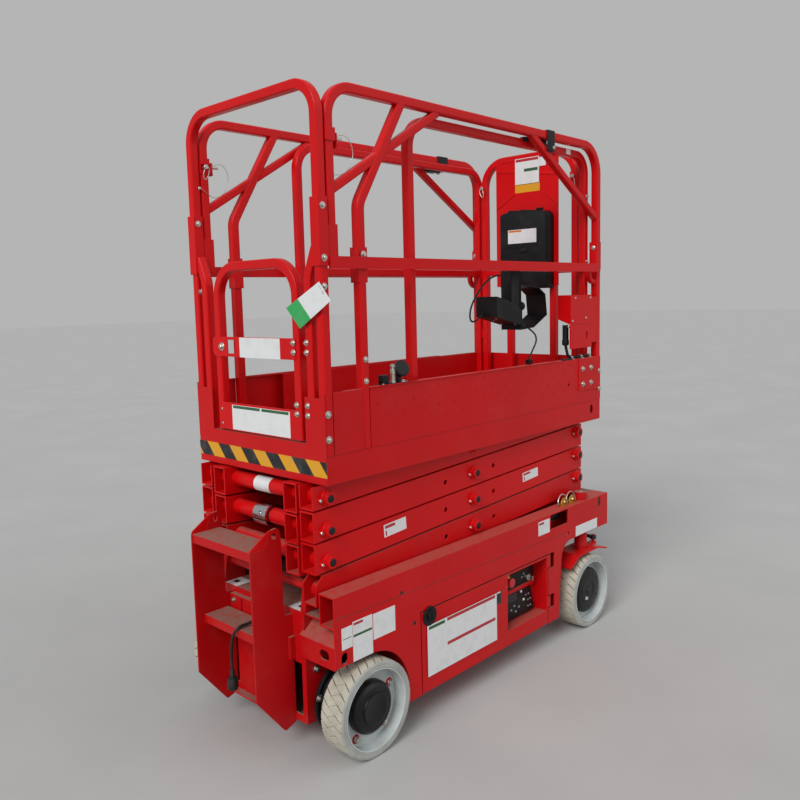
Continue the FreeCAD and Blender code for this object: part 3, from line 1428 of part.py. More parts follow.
def held_cable(points, radius):
    """Thin cable held at both ends."""
    radii = cord_radii(points)
    print("cable bend radii", [round(r, 1) for r in radii])
    spine = path_wire(points, radii)
    start = FreeCAD.Vector(*points[0])
    along = FreeCAD.Vector(*points[1]) - start
    circle = Part.Wire([Part.makeCircle(radius, start, along)])
    solid = spine.makePipeShell([circle], True, True)
    section = math.pi * radius ** 2
    print("cable volume", round(solid.Volume), "section times length", round(section * spine.Length))
    return solid


def export_all():
    """Write every node."""
    for level in range(1, level_count + 1):
        export("arm_outer_%d" % level, outer_arm_pair(level))
        export("arm_inner_%d" % level, inner_arm_pair(level))
    export("lift_barrel", lift_barrel())
    export("lift_rod", lift_rod())
    sill = side_solid()
    export("chassis_side_left", sill)
    export("chassis_side_right", mirrored(sill))
    export("chassis_core", chassis_core())
    export("slide_guides", slide_guides())
    export("entry_ladder", entry_ladder())
    export("rear_axle", rear_axle())
    left_knuckle = knuckle()
    export("knuckle_left", left_knuckle)
    export("knuckle_right", mirrored(left_knuckle))
    export("tie_rod", tie_rod())
    for name, x, front in (("rear", rear_axle_x, False), ("front", front_axle_x, True)):
        band = tyre(x)
        wheel = rim(x, front)
        export("tyre_%s_left" % name, band)
        export("tyre_%s_right" % name, mirrored(band))
        export("rim_%s_left" % name, wheel)
        export("rim_%s_right" % name, mirrored(wheel))
    export("tray_left", tray())
    export("tray_right", mirrored(tray_with_recess()))
    export("ground_controls", mirrored(ground_controls()))
    blocks = batteries()
    export("batteries_left", blocks)
    export("batteries_right", mirrored(blocks))
    export("power_cord", power_cord())
    export("power_plug", power_plug())
    export("platform_deck", platform_deck())
    rail = side_lower_rail()
    export("lower_rail_left", rail)
    export("lower_rail_right", mirrored(rail))
    export("entry_frame", entry_frame())
    frame = side_upper_frame()
    export("upper_frame_left", frame)
    export("upper_frame_right", mirrored(frame))
    export("upper_frame_rear", rear_upper_frame())
    export("entry_gate", entry_gate())
    export("outlet_boxes", outlet_boxes())
    export("extension_deck", extension_deck())
    export("extension_guardrail", extension_guardrail())
    export("front_panel", front_panel())
    export("document_box", document_box())
    export("control_box", control_box())
    export("control_cable", held_cable(control_cable_points, control_cable_radius))
    export("control_loop", held_cable(control_loop_points, control_cable_radius))


os.makedirs("parts", exist_ok=True)
export_all()
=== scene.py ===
"""Looks of an electric slab scissor lift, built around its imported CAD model."""

import logging
import math
from dataclasses import dataclass, field
from enum import Enum
from typing import Iterable, Sequence

import bmesh
import bpy
from mathutils import Matrix, Vector


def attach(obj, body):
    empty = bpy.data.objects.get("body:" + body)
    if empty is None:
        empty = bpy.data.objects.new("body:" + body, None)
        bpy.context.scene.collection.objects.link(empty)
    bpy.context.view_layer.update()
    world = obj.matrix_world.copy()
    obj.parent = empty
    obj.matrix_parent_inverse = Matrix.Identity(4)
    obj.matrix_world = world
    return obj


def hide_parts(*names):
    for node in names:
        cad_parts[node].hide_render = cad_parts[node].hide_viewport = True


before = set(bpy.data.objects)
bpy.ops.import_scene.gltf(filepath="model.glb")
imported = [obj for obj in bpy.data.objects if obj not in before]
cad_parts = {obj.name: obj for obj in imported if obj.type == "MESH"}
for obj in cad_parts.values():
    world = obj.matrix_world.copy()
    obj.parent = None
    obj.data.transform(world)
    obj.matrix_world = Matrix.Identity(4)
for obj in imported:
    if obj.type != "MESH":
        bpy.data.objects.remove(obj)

LOG = logging.getLogger("lift")
MM = 0.001
Point = Sequence[float]


def linear(code: str) -> tuple[float, float, float, float]:
    """Turns a colour code into the linear colour that a shader takes.

    Args:
        code: An sRGB colour as six hex digits.

    Returns:
        Linear red, green and blue, with an alpha of 1.
    """
    levels = [int(code[i:i + 2], 16) / 255.0 for i in (0, 2, 4)]
    low, slope, offset, power = 0.04045, 12.92, 0.055, 2.4
    r, g, b = (c / slope if c <= low else ((c + offset) / (1 + offset)) ** power for c in levels)
    return r, g, b, 1.0


def add_node(tree: bpy.types.NodeTree, kind: str, values: dict | None = None,
             links: dict | None = None, **settings: object) -> bpy.types.Node:
    """Adds one node with its settings, socket values and incoming links.

    Args:
        tree: The node tree that takes the node.
        kind: The node's type name.
        values: Input socket, by name or number, to its constant.
        links: Input socket, by name or number, to the output that feeds it.
        settings: The node's own properties.

    Returns:
        The new node.
    """
    node = tree.nodes.new(kind)
    for name, value in settings.items():
        setattr(node, name, value)
    for socket, value in (values or {}).items():
        node.inputs[socket].default_value = value
    for socket, output in (links or {}).items():
        tree.links.new(output, node.inputs[socket])
    return node


class Wear(Enum):
    """How much dust and rubbed paint a surface shows."""

    CLEAN = (0.05, 0.05)
    USED = (0.42, 0.4)
    TRODDEN = (0.85, 0.9)


@dataclass(frozen=True)
class Finish:
    """A surface, named for its real material and how it was made."""

    name: str
    colour: str
    roughness: float
    metallic: float = 0.0
    ior: float = 1.5

    def material(self) -> bpy.types.Material:
        """Finds the finish's material, and builds it the first time.

        Returns:
            The material with this finish's nodes.
        """
        found = bpy.data.materials.get(self.name)
        if found:
            return found
        made = bpy.data.materials.new(self.name)
        made.use_nodes = True
        tree = made.node_tree
        tree.nodes.clear()
        values = {"Roughness": self.roughness, "Metallic": self.metallic,
                  "Base Color": linear(self.colour)}
        if not self.metallic:
            values["IOR"] = self.ior
        shader = add_node(tree, "ShaderNodeBsdfPrincipled", values)
        add_node(tree, "ShaderNodeOutputMaterial", links={"Surface": shader.outputs["BSDF"]})
        self.dress(tree, shader)
        made.diffuse_color = linear(self.colour)
        return made

    def dress(self, tree: bpy.types.NodeTree, shader: bpy.types.Node) -> None:
        """Adds the colour variation, roughness and relief of this finish.

        Args:
            tree: The material's nodes.
            shader: The principled shader that they feed.
        """
        raise NotImplementedError

    def place(self, tree: bpy.types.NodeTree) -> bpy.types.NodeSocket:
        """Returns the coordinates in metres of the row frame."""
        return add_node(tree, "ShaderNodeTexCoord").outputs["Object"]

    def noise(self, tree: bpy.types.NodeTree, size_mm: float, detail: float = 2.0,
              rough: float = 0.5) -> bpy.types.NodeSocket:
        """Adds noise whose patches have a real size.

        Args:
            tree: The material's nodes.
            size_mm: Typical width of a patch.
            detail: Octaves of finer patches.
            rough: Strength of the finer patches.

        Returns:
            The noise value from 0 to 1.
        """
        return add_node(tree, "ShaderNodeTexNoise",
                        {"Scale": 1.0 / (size_mm * MM), "Detail": detail, "Roughness": rough},
                        {"Vector": self.place(tree)}).outputs["Fac"]

    def span(self, tree: bpy.types.NodeTree, source: bpy.types.NodeSocket, low: float,
             high: float, out_low: float = 0.0, out_high: float = 1.0) -> bpy.types.NodeSocket:
        """Maps a value from one span to another, clamped.

        Args:
            tree: The material's nodes.
            source: The value.
            low: Start of its span.
            high: End of its span.
            out_low: What the start becomes.
            out_high: What the end becomes.

        Returns:
            The mapped value.
        """
        return add_node(tree, "ShaderNodeMapRange",
                        {"From Min": low, "From Max": high, "To Min": out_low, "To Max": out_high},
                        {"Value": source}).outputs["Result"]

    def blend(self, tree: bpy.types.NodeTree, factor: bpy.types.NodeSocket,
              first: bpy.types.NodeSocket | str, second: str) -> bpy.types.NodeSocket:
        """Mixes a colour into another by a factor.

        Args:
            tree: The material's nodes.
            factor: Share of the second colour.
            first: The ground colour, as a socket or a hex code.
            second: The colour mixed in, as a hex code.

        Returns:
            The mixed colour.
        """
        values = {"B": linear(second)}
        links = {"Factor": factor}
        if isinstance(first, str):
            values["A"] = linear(first)
        else:
            links["A"] = first
        mix = tree.nodes.new("ShaderNodeMix")
        mix.data_type = "RGBA"
        sockets = {"Factor": mix.inputs[0], "A": mix.inputs[6], "B": mix.inputs[7]}
        for key, value in values.items():
            sockets[key].default_value = value
        for key, output in links.items():
            tree.links.new(output, sockets[key])
        return mix.outputs[2]

    def calc(self, tree: bpy.types.NodeTree, operation: str, first: bpy.types.NodeSocket | float,
             second: bpy.types.NodeSocket | float) -> bpy.types.NodeSocket:
        """Combines two values by a named operation, clamped from 0 to 1.

        Args:
            tree: The material's nodes.
            operation: The math node's operation.
            first: A socket or a number.
            second: A socket or a number.

        Returns:
            The combined value.
        """
        node = add_node(tree, "ShaderNodeMath", operation=operation, use_clamp=True)
        for socket, value in zip(node.inputs, (first, second)):
            if isinstance(value, (int, float)):
                socket.default_value = value
            else:
                tree.links.new(value, socket)
        return node.outputs[0]

    def relief(self, tree: bpy.types.NodeTree, shader: bpy.types.Node,
               height: bpy.types.NodeSocket, depth_mm: float, edge_mm: float = 0.0) -> None:
        """Adds bump of a real depth, over edges softened to a real radius.

        Args:
            tree: The material's nodes.
            shader: The shader that takes the normal.
            height: The height from 0 to 1.
            depth_mm: Height of a full step.
            edge_mm: Radius that edges look rounded to, 0 for none.
        """
        links = {"Height": height}
        if edge_mm:
            soft = add_node(tree, "ShaderNodeBevel", {"Radius": edge_mm * MM}, samples=4)
            links["Normal"] = soft.outputs["Normal"]
        bump = add_node(tree, "ShaderNodeBump", {"Strength": 1.0, "Distance": depth_mm * MM}, links)
        tree.links.new(bump.outputs["Normal"], shader.inputs["Normal"])

    def facing_up(self, tree: bpy.types.NodeTree) -> bpy.types.NodeSocket:
        """Returns how far the surface faces up, from 0 to 1."""
        geometry = add_node(tree, "ShaderNodeNewGeometry")
        split = add_node(tree, "ShaderNodeSeparateXYZ", links={0: geometry.outputs["Normal"]})
        return self.span(tree, split.outputs["Z"], 0.6, 0.97)

    def edges(self, tree: bpy.types.NodeTree, radius_mm: float) -> bpy.types.NodeSocket:
        """Finds the part's edges by how a rounded normal leaves the true one.

        Args:
            tree: The material's nodes.
            radius_mm: Width of the band along an edge.

        Returns:
            A value that is 1 on edges and 0 on flat faces.
        """
        geometry = add_node(tree, "ShaderNodeNewGeometry")
        soft = add_node(tree, "ShaderNodeBevel", {"Radius": radius_mm * MM}, samples=4)
        match = add_node(tree, "ShaderNodeVectorMath", operation="DOT_PRODUCT",
                         links={0: geometry.outputs["Normal"], 1: soft.outputs["Normal"]})
        return self.span(tree, match.outputs["Value"], 0.99, 0.86)


@dataclass(frozen=True)
class PowderCoat(Finish):
    """Polyester powder coat baked on sheet steel: bright, satin, with a slight orange peel."""

    wear: Wear = Wear.CLEAN
    dust: str = "8C7568"
    bare: str = "5E4A44"
    ior: float = 1.3

    def dress(self, tree: bpy.types.NodeTree, shader: bpy.types.Node) -> None:
        """Adds settled dust, rubbed edges, tone drift and orange peel."""
        dusty, rubbed = self.wear.value
        drift = self.span(tree, self.noise(tree, 420.0, 3.0), 0.3, 0.7, 0.0, 0.16)
        colour = self.blend(tree, drift, self.colour, "7A0A10")
        patches = self.span(tree, self.noise(tree, 22.0, 9.0, 0.8), 0.3, 0.5)
        settled = self.calc(tree, "MULTIPLY", self.facing_up(tree), patches)
        film = self.span(tree, self.noise(tree, 160.0, 4.0, 0.6), 0.5, 0.8, 0.0, dusty * 0.14)
        dust = self.calc(tree, "ADD", self.calc(tree, "MULTIPLY", settled, dusty), film)
        colour = self.blend(tree, dust, colour, self.dust)
        flecks = self.span(tree, self.noise(tree, 9.0, 5.0, 0.7), 0.52, 0.62)
        worn = self.calc(tree, "MULTIPLY", self.edges(tree, 3.0), flecks)
        worn = self.calc(tree, "MULTIPLY", worn, rubbed)
        colour = self.blend(tree, worn, colour, self.bare)
        tree.links.new(colour, shader.inputs["Base Color"])
        matt = self.calc(tree, "ADD", self.calc(tree, "MULTIPLY", dust, 0.55), self.roughness)
        tree.links.new(matt, shader.inputs["Roughness"])
        self.relief(tree, shader, self.noise(tree, 3.0, 1.0), 0.05, edge_mm=2.0)


@dataclass(frozen=True)
class Enamel(Finish):
    """Brushed-on machine enamel: soft gloss, with blotches of grime."""

    grime: str = "4E4A44"

    def dress(self, tree: bpy.types.NodeTree, shader: bpy.types.Node) -> None:
        """Adds blotches of grime and a low relief."""
        blotch = self.span(tree, self.noise(tree, 70.0, 5.0, 0.6), 0.5, 0.75, 0.0, 0.4)
        colour = self.blend(tree, blotch, self.colour, self.grime)
        tree.links.new(colour, shader.inputs["Base Color"])
        matt = self.calc(tree, "ADD", self.calc(tree, "MULTIPLY", blotch, 0.6), self.roughness)
        tree.links.new(matt, shader.inputs["Roughness"])
        self.relief(tree, shader, self.noise(tree, 4.0, 2.0), 0.08, edge_mm=1.5)


@dataclass(frozen=True)
class SolidRubber(Finish):
    """Cast non-marking rubber: dull off-white, stained by the floor."""

    stain: str = "8A8478"

    def dress(self, tree: bpy.types.NodeTree, shader: bpy.types.Node) -> None:
        """Adds wide stains, small scuffs and a pitted skin."""
        wide = self.span(tree, self.noise(tree, 60.0, 5.0, 0.6), 0.42, 0.72, 0.0, 0.55)
        colour = self.blend(tree, wide, self.colour, self.stain)
        small = self.span(tree, self.noise(tree, 6.0, 4.0, 0.7), 0.6, 0.75, 0.0, 0.45)
        colour = self.blend(tree, small, colour, "6B665C")
        tree.links.new(colour, shader.inputs["Base Color"])
        self.relief(tree, shader, self.noise(tree, 2.5, 4.0, 0.7), 0.25)


@dataclass(frozen=True)
class MouldedPlastic(Finish):
    """Injection-moulded plastic: even and dark, with a spark-eroded grain that softens light."""

    grain_mm: float = 1.6

    def dress(self, tree: bpy.types.NodeTree, shader: bpy.types.Node) -> None:
        """Adds the grain, drawn at about twice its real pitch so that it shows, and pale dust."""
        dust = self.span(tree, self.noise(tree, 90.0, 5.0, 0.65), 0.5, 0.8, 0.0, 0.07)
        colour = self.blend(tree, dust, self.colour, "8D857B")
        tree.links.new(colour, shader.inputs["Base Color"])
        cells = add_node(tree, "ShaderNodeTexVoronoi", {"Scale": 1.0 / (self.grain_mm * MM)},
                         {"Vector": self.place(tree)})
        self.relief(tree, shader, cells.outputs["Distance"], 0.06, edge_mm=1.5)


@dataclass(frozen=True)
class SoftRubber(Finish):
    """Extruded rubber sheath: black and matt, with fine lines along it."""

    def dress(self, tree: bpy.types.NodeTree, shader: bpy.types.Node) -> None:
        """Adds chalky patches and a slight unevenness."""
        chalk = self.span(tree, self.noise(tree, 30.0, 5.0, 0.6), 0.55, 0.8, 0.0, 0.3)
        tree.links.new(self.blend(tree, chalk, self.colour, "6E6A66"), shader.inputs["Base Color"])
        self.relief(tree, shader, self.noise(tree, 1.5, 3.0), 0.05)


@dataclass(frozen=True)
class PlatedSteel(Finish):
    """Zinc or chrome plate on machined steel: bright, with fine turning marks and dull spots."""

    def dress(self, tree: bpy.types.NodeTree, shader: bpy.types.Node) -> None:
        """Adds dull spots and a fine unevenness."""
        dull = self.span(tree, self.noise(tree, 8.0, 4.0, 0.6), 0.45, 0.75, 0.0, 0.25)
        colour = self.blend(tree, dull, self.colour, "8E887C")
        tree.links.new(colour, shader.inputs["Base Color"])
        matt = self.calc(tree, "ADD", dull, self.roughness)
        tree.links.new(matt, shader.inputs["Roughness"])
        self.relief(tree, shader, self.noise(tree, 1.0, 2.0), 0.02, edge_mm=0.8)


@dataclass(frozen=True)
class VinylFilm(Finish):
    """Printed vinyl film: even colour under a smooth laminate, dusty in patches."""

    def dress(self, tree: bpy.types.NodeTree, shader: bpy.types.Node) -> None:
        """Adds a thin veil of dust and the faint ripple of a film on steel."""
        veil = self.span(tree, self.noise(tree, 40.0, 5.0, 0.6), 0.48, 0.8, 0.0, 0.22)
        tree.links.new(self.blend(tree, veil, self.colour, "9B948A"), shader.inputs["Base Color"])
        self.relief(tree, shader, self.noise(tree, 12.0, 2.0), 0.04)


@dataclass(frozen=True)
class Concrete(Finish):
    """Power-floated concrete: pale, dull, with faint cloudy patches."""

    def dress(self, tree: bpy.types.NodeTree, shader: bpy.types.Node) -> None:
        """Adds cloudy patches and fine sand."""
        clouds = self.span(tree, self.noise(tree, 700.0, 6.0, 0.6), 0.35, 0.7, 0.0, 0.16)
        tree.links.new(self.blend(tree, clouds, self.colour, "8F8F8D"), shader.inputs["Base Color"])
        self.relief(tree, shader, self.noise(tree, 6.0, 4.0, 0.6), 0.15)


RED = PowderCoat("red_powder_coat", "D4070D", 0.34, wear=Wear.CLEAN)
RED_USED = PowderCoat("red_powder_coat_used", "CC080E", 0.38, wear=Wear.USED)
RED_TRODDEN = PowderCoat("red_powder_coat_trodden", "C0090F", 0.45, wear=Wear.TRODDEN)
BLACK_PAINT = Enamel("black_enamel", "17181A", 0.42, grime="55504A")
RIM_PAINT = Enamel("pale_grey_enamel", "C3CAC9", 0.4, grime="8C8A82")
TYRE = SolidRubber("cast_white_rubber", "BFBAA9", 0.82)
# Painted shade: the sidewall rubber is a darker, cooler copy of the tread rubber.
TYRE_WALL_SHADED = SolidRubber("cast_white_rubber_wall", "AEB0AB", 0.78, stain="86837B")
# Painted shade: a dark rubber for the bottoms of the tread grooves.
TYRE_GROOVE_SHADE = SolidRubber("painted_groove_shade_rubber", "5C564A", 0.9, stain="3E3A32")
CAP = MouldedPlastic("moulded_cap_plastic", "0A0B0C", 0.38, ior=1.4)
PLASTIC = MouldedPlastic("moulded_black_plastic", "090B0F", 0.5, ior=1.35)
CASE = MouldedPlastic("moulded_battery_case", "1E1F22", 0.55)
SHEATH = SoftRubber("rubber_sheath", "121212", 0.6)
ZINC = PlatedSteel("zinc_plate", "C9C7C0", 0.3, metallic=1.0)
CHROME = PlatedSteel("hard_chrome", "C5C7CB", 0.12, metallic=1.0)
BRASS = PlatedSteel("yellow_passivated_zinc", "C79A3A", 0.32, metallic=1.0)
WHITE_FILM = VinylFilm("white_vinyl", "E2E3E3", 0.36)
RED_FILM = VinylFilm("red_vinyl", "B3202A", 0.36)
GREEN_FILM = VinylFilm("green_vinyl", "1E5A34", 0.36)
ORANGE_FILM = VinylFilm("orange_vinyl", "D9701E", 0.36)
YELLOW_FILM = VinylFilm("yellow_vinyl", "DF9F12", 0.38)
BLACK_FILM = VinylFilm("black_vinyl", "15151A", 0.38)
GREEN_CARD = VinylFilm("green_card", "2FA657", 0.5)
RED_KNOB = MouldedPlastic("moulded_red_plastic", "C8202A", 0.4)
GREY_KEY = MouldedPlastic("moulded_grey_plastic", "8E9194", 0.45)
FLOOR = Concrete("pale_concrete", "B9B9B7", 0.8)


class Form:
    """A piece under construction, in millimetres of the row frame."""

    def __init__(self, name: str, *finishes: Finish) -> None:
        """Starts an empty piece.

        Args:
            name: The piece's name.
            finishes: Its finishes, which the methods name by number.
        """
        self.name = name
        self.finishes = finishes
        self.mesh = bmesh.new()

    def _paint(self, verts: Iterable[bmesh.types.BMVert], finish: int) -> None:
        """Gives the faces at some vertices a finish.

        Args:
            verts: The vertices of one closed shell.
            finish: Number of the finish.
        """
        for face in {f for v in verts for f in v.link_faces}:
            face.material_index = finish

    def block(self, place: Matrix, size: Point, finish: int = 0, bevel: float = 0.0) -> None:
        """Adds a block with rounded edges about a placed centre.

        Args:
            place: Matrix of its centre and directions.
            size: Its three sizes.
            finish: Number of the finish.
            bevel: Radius of its edges.
        """
        scale = Matrix.Diagonal((*size, 1.0))
        made = bmesh.ops.create_cube(self.mesh, size=1.0, matrix=place @ scale)["verts"]
        if bevel:
            edges = list({e for v in made for e in v.link_edges})
            cut = bmesh.ops.bevel(self.mesh, geom=edges, offset=bevel, segments=2, profile=0.5,
                                  affect="EDGES")
            made = cut["verts"]
        self._paint(made, finish)

    def box(self, low: Point, high: Point, finish: int = 0, bevel: float = 0.0) -> None:
        """Adds a block along the axes between two corners.

        Args:
            low: Lowest corner.
            high: Highest corner.
            finish: Number of the finish.
            bevel: Radius of its edges.
        """
        centre = [(a + b) / 2.0 for a, b in zip(low, high)]
        size = [b - a for a, b in zip(low, high)]
        self.block(Matrix.Translation(centre), size, finish, bevel)

    def slab(self, outline: Sequence[Point], offset: Point, finish: int = 0,
             bevel: float = 0.0) -> None:
        """Adds a flat outline drawn out along an offset.

        Args:
            outline: Its corners in order.
            offset: The way from the first face to the second.
            finish: Number of the finish.
            bevel: Radius of its edges.
        """
        step = Vector(offset)
        first = [self.mesh.verts.new(Vector(p)) for p in outline]
        second = [self.mesh.verts.new(Vector(p) + step) for p in outline]
        count = len(outline)
        self.mesh.faces.new(first)
        self.mesh.faces.new(list(reversed(second)))
        for i in range(count):
            j = (i + 1) % count
            self.mesh.faces.new((first[j], first[i], second[i], second[j]))
        made = first + second
        faces = list({f for v in made for f in v.link_faces})
        bmesh.ops.recalc_face_normals(self.mesh, faces=faces)
        if bevel:
            edges = list({e for v in made for e in v.link_edges})
            made = bmesh.ops.bevel(self.mesh, geom=edges, offset=bevel, segments=2,
                                   profile=0.5, affect="EDGES")["verts"]
        self._paint(made, finish)

    def turn(self, profile: Sequence[tuple[float, float]], origin: Point, axis: Point,
             finish: int = 0, sides: int = 32, ring: bool = False) -> None:
        """Adds a turned shape with closed ends, or a ring with an open middle.

        Args:
            profile: Radius and height along the axis, from the first end to the last.
            origin: Point on the axis at height 0.
            axis: Its direction.
            finish: Number of the finish.
            sides: Steps round the axis.
            ring: Whether the last point of the profile joins the first.
        """
        turned = Vector(axis).to_track_quat("Z", "Y").to_matrix()
        base = Vector(origin)
        rings = []
        for radius, height in profile:
            if radius <= 0:
                rings.append([self.mesh.verts.new(base + turned @ Vector((0, 0, height)))])
                continue
            rings.append([])
            for k in range(sides):
                a = 2 * math.pi * k / sides
                at = Vector((radius * math.cos(a), radius * math.sin(a), height))
                rings[-1].append(self.mesh.verts.new(base + turned @ at))
        after = rings[1:] + rings[:1] if ring else rings[1:]
        for one, two in zip(rings, after):
            for k in range(sides):
                n = (k + 1) % sides
                corners = (one[k % len(one)], one[n % len(one)], two[n % len(two)],
                           two[k % len(two)])
                distinct = list(dict.fromkeys(corners))
                if len(distinct) > 2:
                    self.mesh.faces.new(distinct)
        for end, flip in ((rings[0], True), (rings[-1], False)):
            if len(end) > 2 and not ring:
                self.mesh.faces.new(list(reversed(end)) if flip else end)
        made = [v for row in rings for v in row]
        self._paint(made, finish)

    def hose(self, path: Sequence[Point], radius: float, finish: int = 0, sides: int = 10,
             smooth: int = 6) -> None:
        """Adds a round tube along a smooth line through some points.

        Args:
            path: Points that the line passes.
            radius: Radius of the tube.
            finish: Number of the finish.
            sides: Steps round the tube.
            smooth: Steps between two points, 1 for straight runs.
        """
        spots = [Vector(p) for p in path]
        line = []
        for i in range(len(spots) - 1):
            before = spots[max(i - 1, 0)]
            after = spots[min(i + 2, len(spots) - 1)]
            for k in range(smooth):
                line.append(self._between(before, spots[i], spots[i + 1], after, k / smooth))
        line.append(spots[-1])
        side = (line[1] - line[0]).orthogonal().normalized()
        rings = []
        for i, spot in enumerate(line):
            ahead = (line[min(i + 1, len(line) - 1)] - line[max(i - 1, 0)]).normalized()
            side = (side - ahead * side.dot(ahead)).normalized()
            other = ahead.cross(side)
            turns = [2 * math.pi * k / sides for k in range(sides)]
            rings.append([self.mesh.verts.new(
                spot + (side * math.cos(a) + other * math.sin(a)) * radius) for a in turns])
        for one, two in zip(rings, rings[1:]):
            for k in range(sides):
                n = (k + 1) % sides
                self.mesh.faces.new((one[k], one[n], two[n], two[k]))
        self.mesh.faces.new(list(reversed(rings[0])))
        self.mesh.faces.new(rings[-1])
        self._paint([v for ring in rings for v in ring], finish)

    @staticmethod
    def _between(a: Vector, b: Vector, c: Vector, d: Vector, t: float) -> Vector:
        """Returns the point at share t from b to c on a smooth line past a and d."""
        return 0.5 * ((2 * b) + (c - a) * t + (2 * a - 5 * b + 4 * c - d) * t * t
                      + (3 * b - a - 3 * c + d) * t ** 3)

    def bolt(self, origin: Point, axis: Point, across: float = 13.0, finish: int = 0,
             washer: bool = True) -> None:
        """Adds a hexagon bolt head with its washer on a face.

        Args:
            origin: Centre on the face.
            axis: Direction away from the face.
            across: Width across the flats.
            finish: Number of the finish.
            washer: Whether a washer lies under the head.
        """
        low = 0.0
        if washer:
            wide = across * 0.9
            self.turn(((wide, -0.2), (wide, 1.4), (wide - 0.6, 1.8), (0, 1.8)), origin, axis,
                      finish, 20)
            low = 1.6
        corner = across / 2.0 / math.cos(math.pi / 6)
        high = low + across * 0.55
        self.turn(((corner, low - 0.2), (corner, high - 0.9), (corner * 0.88, high), (0, high)),
                  origin, axis, finish, 6)
        self.turn(((across * 0.3, high - 0.2), (across * 0.3, high + 0.6), (0, high + 0.6)),
                  origin, axis, finish, 12)

    def dome(self, origin: Point, axis: Point, radius: float = 6.0, finish: int = 0) -> None:
        """Adds a round-headed screw or rivet on a face.

        Args:
            origin: Centre on the face.
            axis: Direction away from the face.
            radius: Radius of the head.
            finish: Number of the finish.
        """
        profile = [(radius, -0.2)]
        profile += [(radius * math.cos(a), radius * 0.55 * math.sin(a))
                    for a in (0.2, 0.6, 1.0, 1.35)]
        profile.append((0, radius * 0.55))
        self.turn(profile, origin, axis, finish, 18)

    def done(self, body: str, sharp_deg: float = 32.0
             ) -> bpy.types.Object:
        """Turns the form into an object that rides a body.

        Args:
            body: Name of the CAD body.
            sharp_deg: Angle from which an edge stays sharp.

        Returns:
            The object.
        """
        mesh = bpy.data.meshes.new(self.name)
        bmesh.ops.remove_doubles(self.mesh, verts=self.mesh.verts, dist=0.001)
        self.mesh.transform(Matrix.Scale(MM, 4))
        self.mesh.to_mesh(mesh)
        self.mesh.free()
        for finish in self.finishes:
            mesh.materials.append(finish.material())
        mesh.shade_smooth()
        mesh.set_sharp_from_angle(angle=math.radians(sharp_deg))
        made = bpy.data.objects.new(self.name, mesh)
        bpy.context.scene.collection.objects.link(made)
        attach(made, body)
        LOG.info("%s rides %s, %d faces", self.name, body, len(mesh.polygons))
        return made


@dataclass(frozen=True)
class Band:
    """A coloured strip on a label, as shares of its width and height from the lower left."""

    left: float
    low: float
    right: float
    high: float
    film: int


@dataclass(frozen=True)
class Label:
    """A blank film label on a flat face, in millimetres."""

    centre: Point
    width: float
    height: float
    facing: Point
    up: Point = (0, 0, 1)
    bands: tuple[Band, ...] = ()

    def build(self, form: Form, film: int = 0, thick: float = 0.35) -> None:
        """Adds the label and its bands to a form.

        Args:
            form: The form that takes it.
            film: Number of the ground's finish.
            thick: Thickness of the film.
        """
        out = Vector(self.facing).normalized()
        high = Vector(self.up)
        high = (high - out * high.dot(out)).normalized()
        wide = high.cross(out)
        low = Vector(self.centre) - wide * self.width / 2 - high * self.height / 2
        self._strip(form, low, wide, high, out, (0, 0, 1, 1), thick, film)
        for band in self.bands:
            share = (band.left, band.low, band.right, band.high)
            self._strip(form, low + out * thick, wide, high, out, share, 0.12, band.film)

    def _strip(self, form: Form, low: Vector, wide: Vector, high: Vector, out: Vector,
               share: tuple[float, float, float, float], thick: float, film: int) -> None:
        """Adds one strip of the label.

        Args:
            form: The form that takes it.
            low: The label's lower left corner.
            wide: Direction of the width.
            high: Direction of the height.
            out: Direction away from the face.
            share: Left, low, right and high as shares of the label.
            thick: Thickness of the strip.
            film: Number of its finish.
        """
        x0, y0, x1, y1 = share
        corners = [low + wide * self.width * x + high * self.height * y
                   for x, y in ((x0, y0), (x1, y0), (x1, y1), (x0, y1))]
        form.slab(corners, out * thick, film)


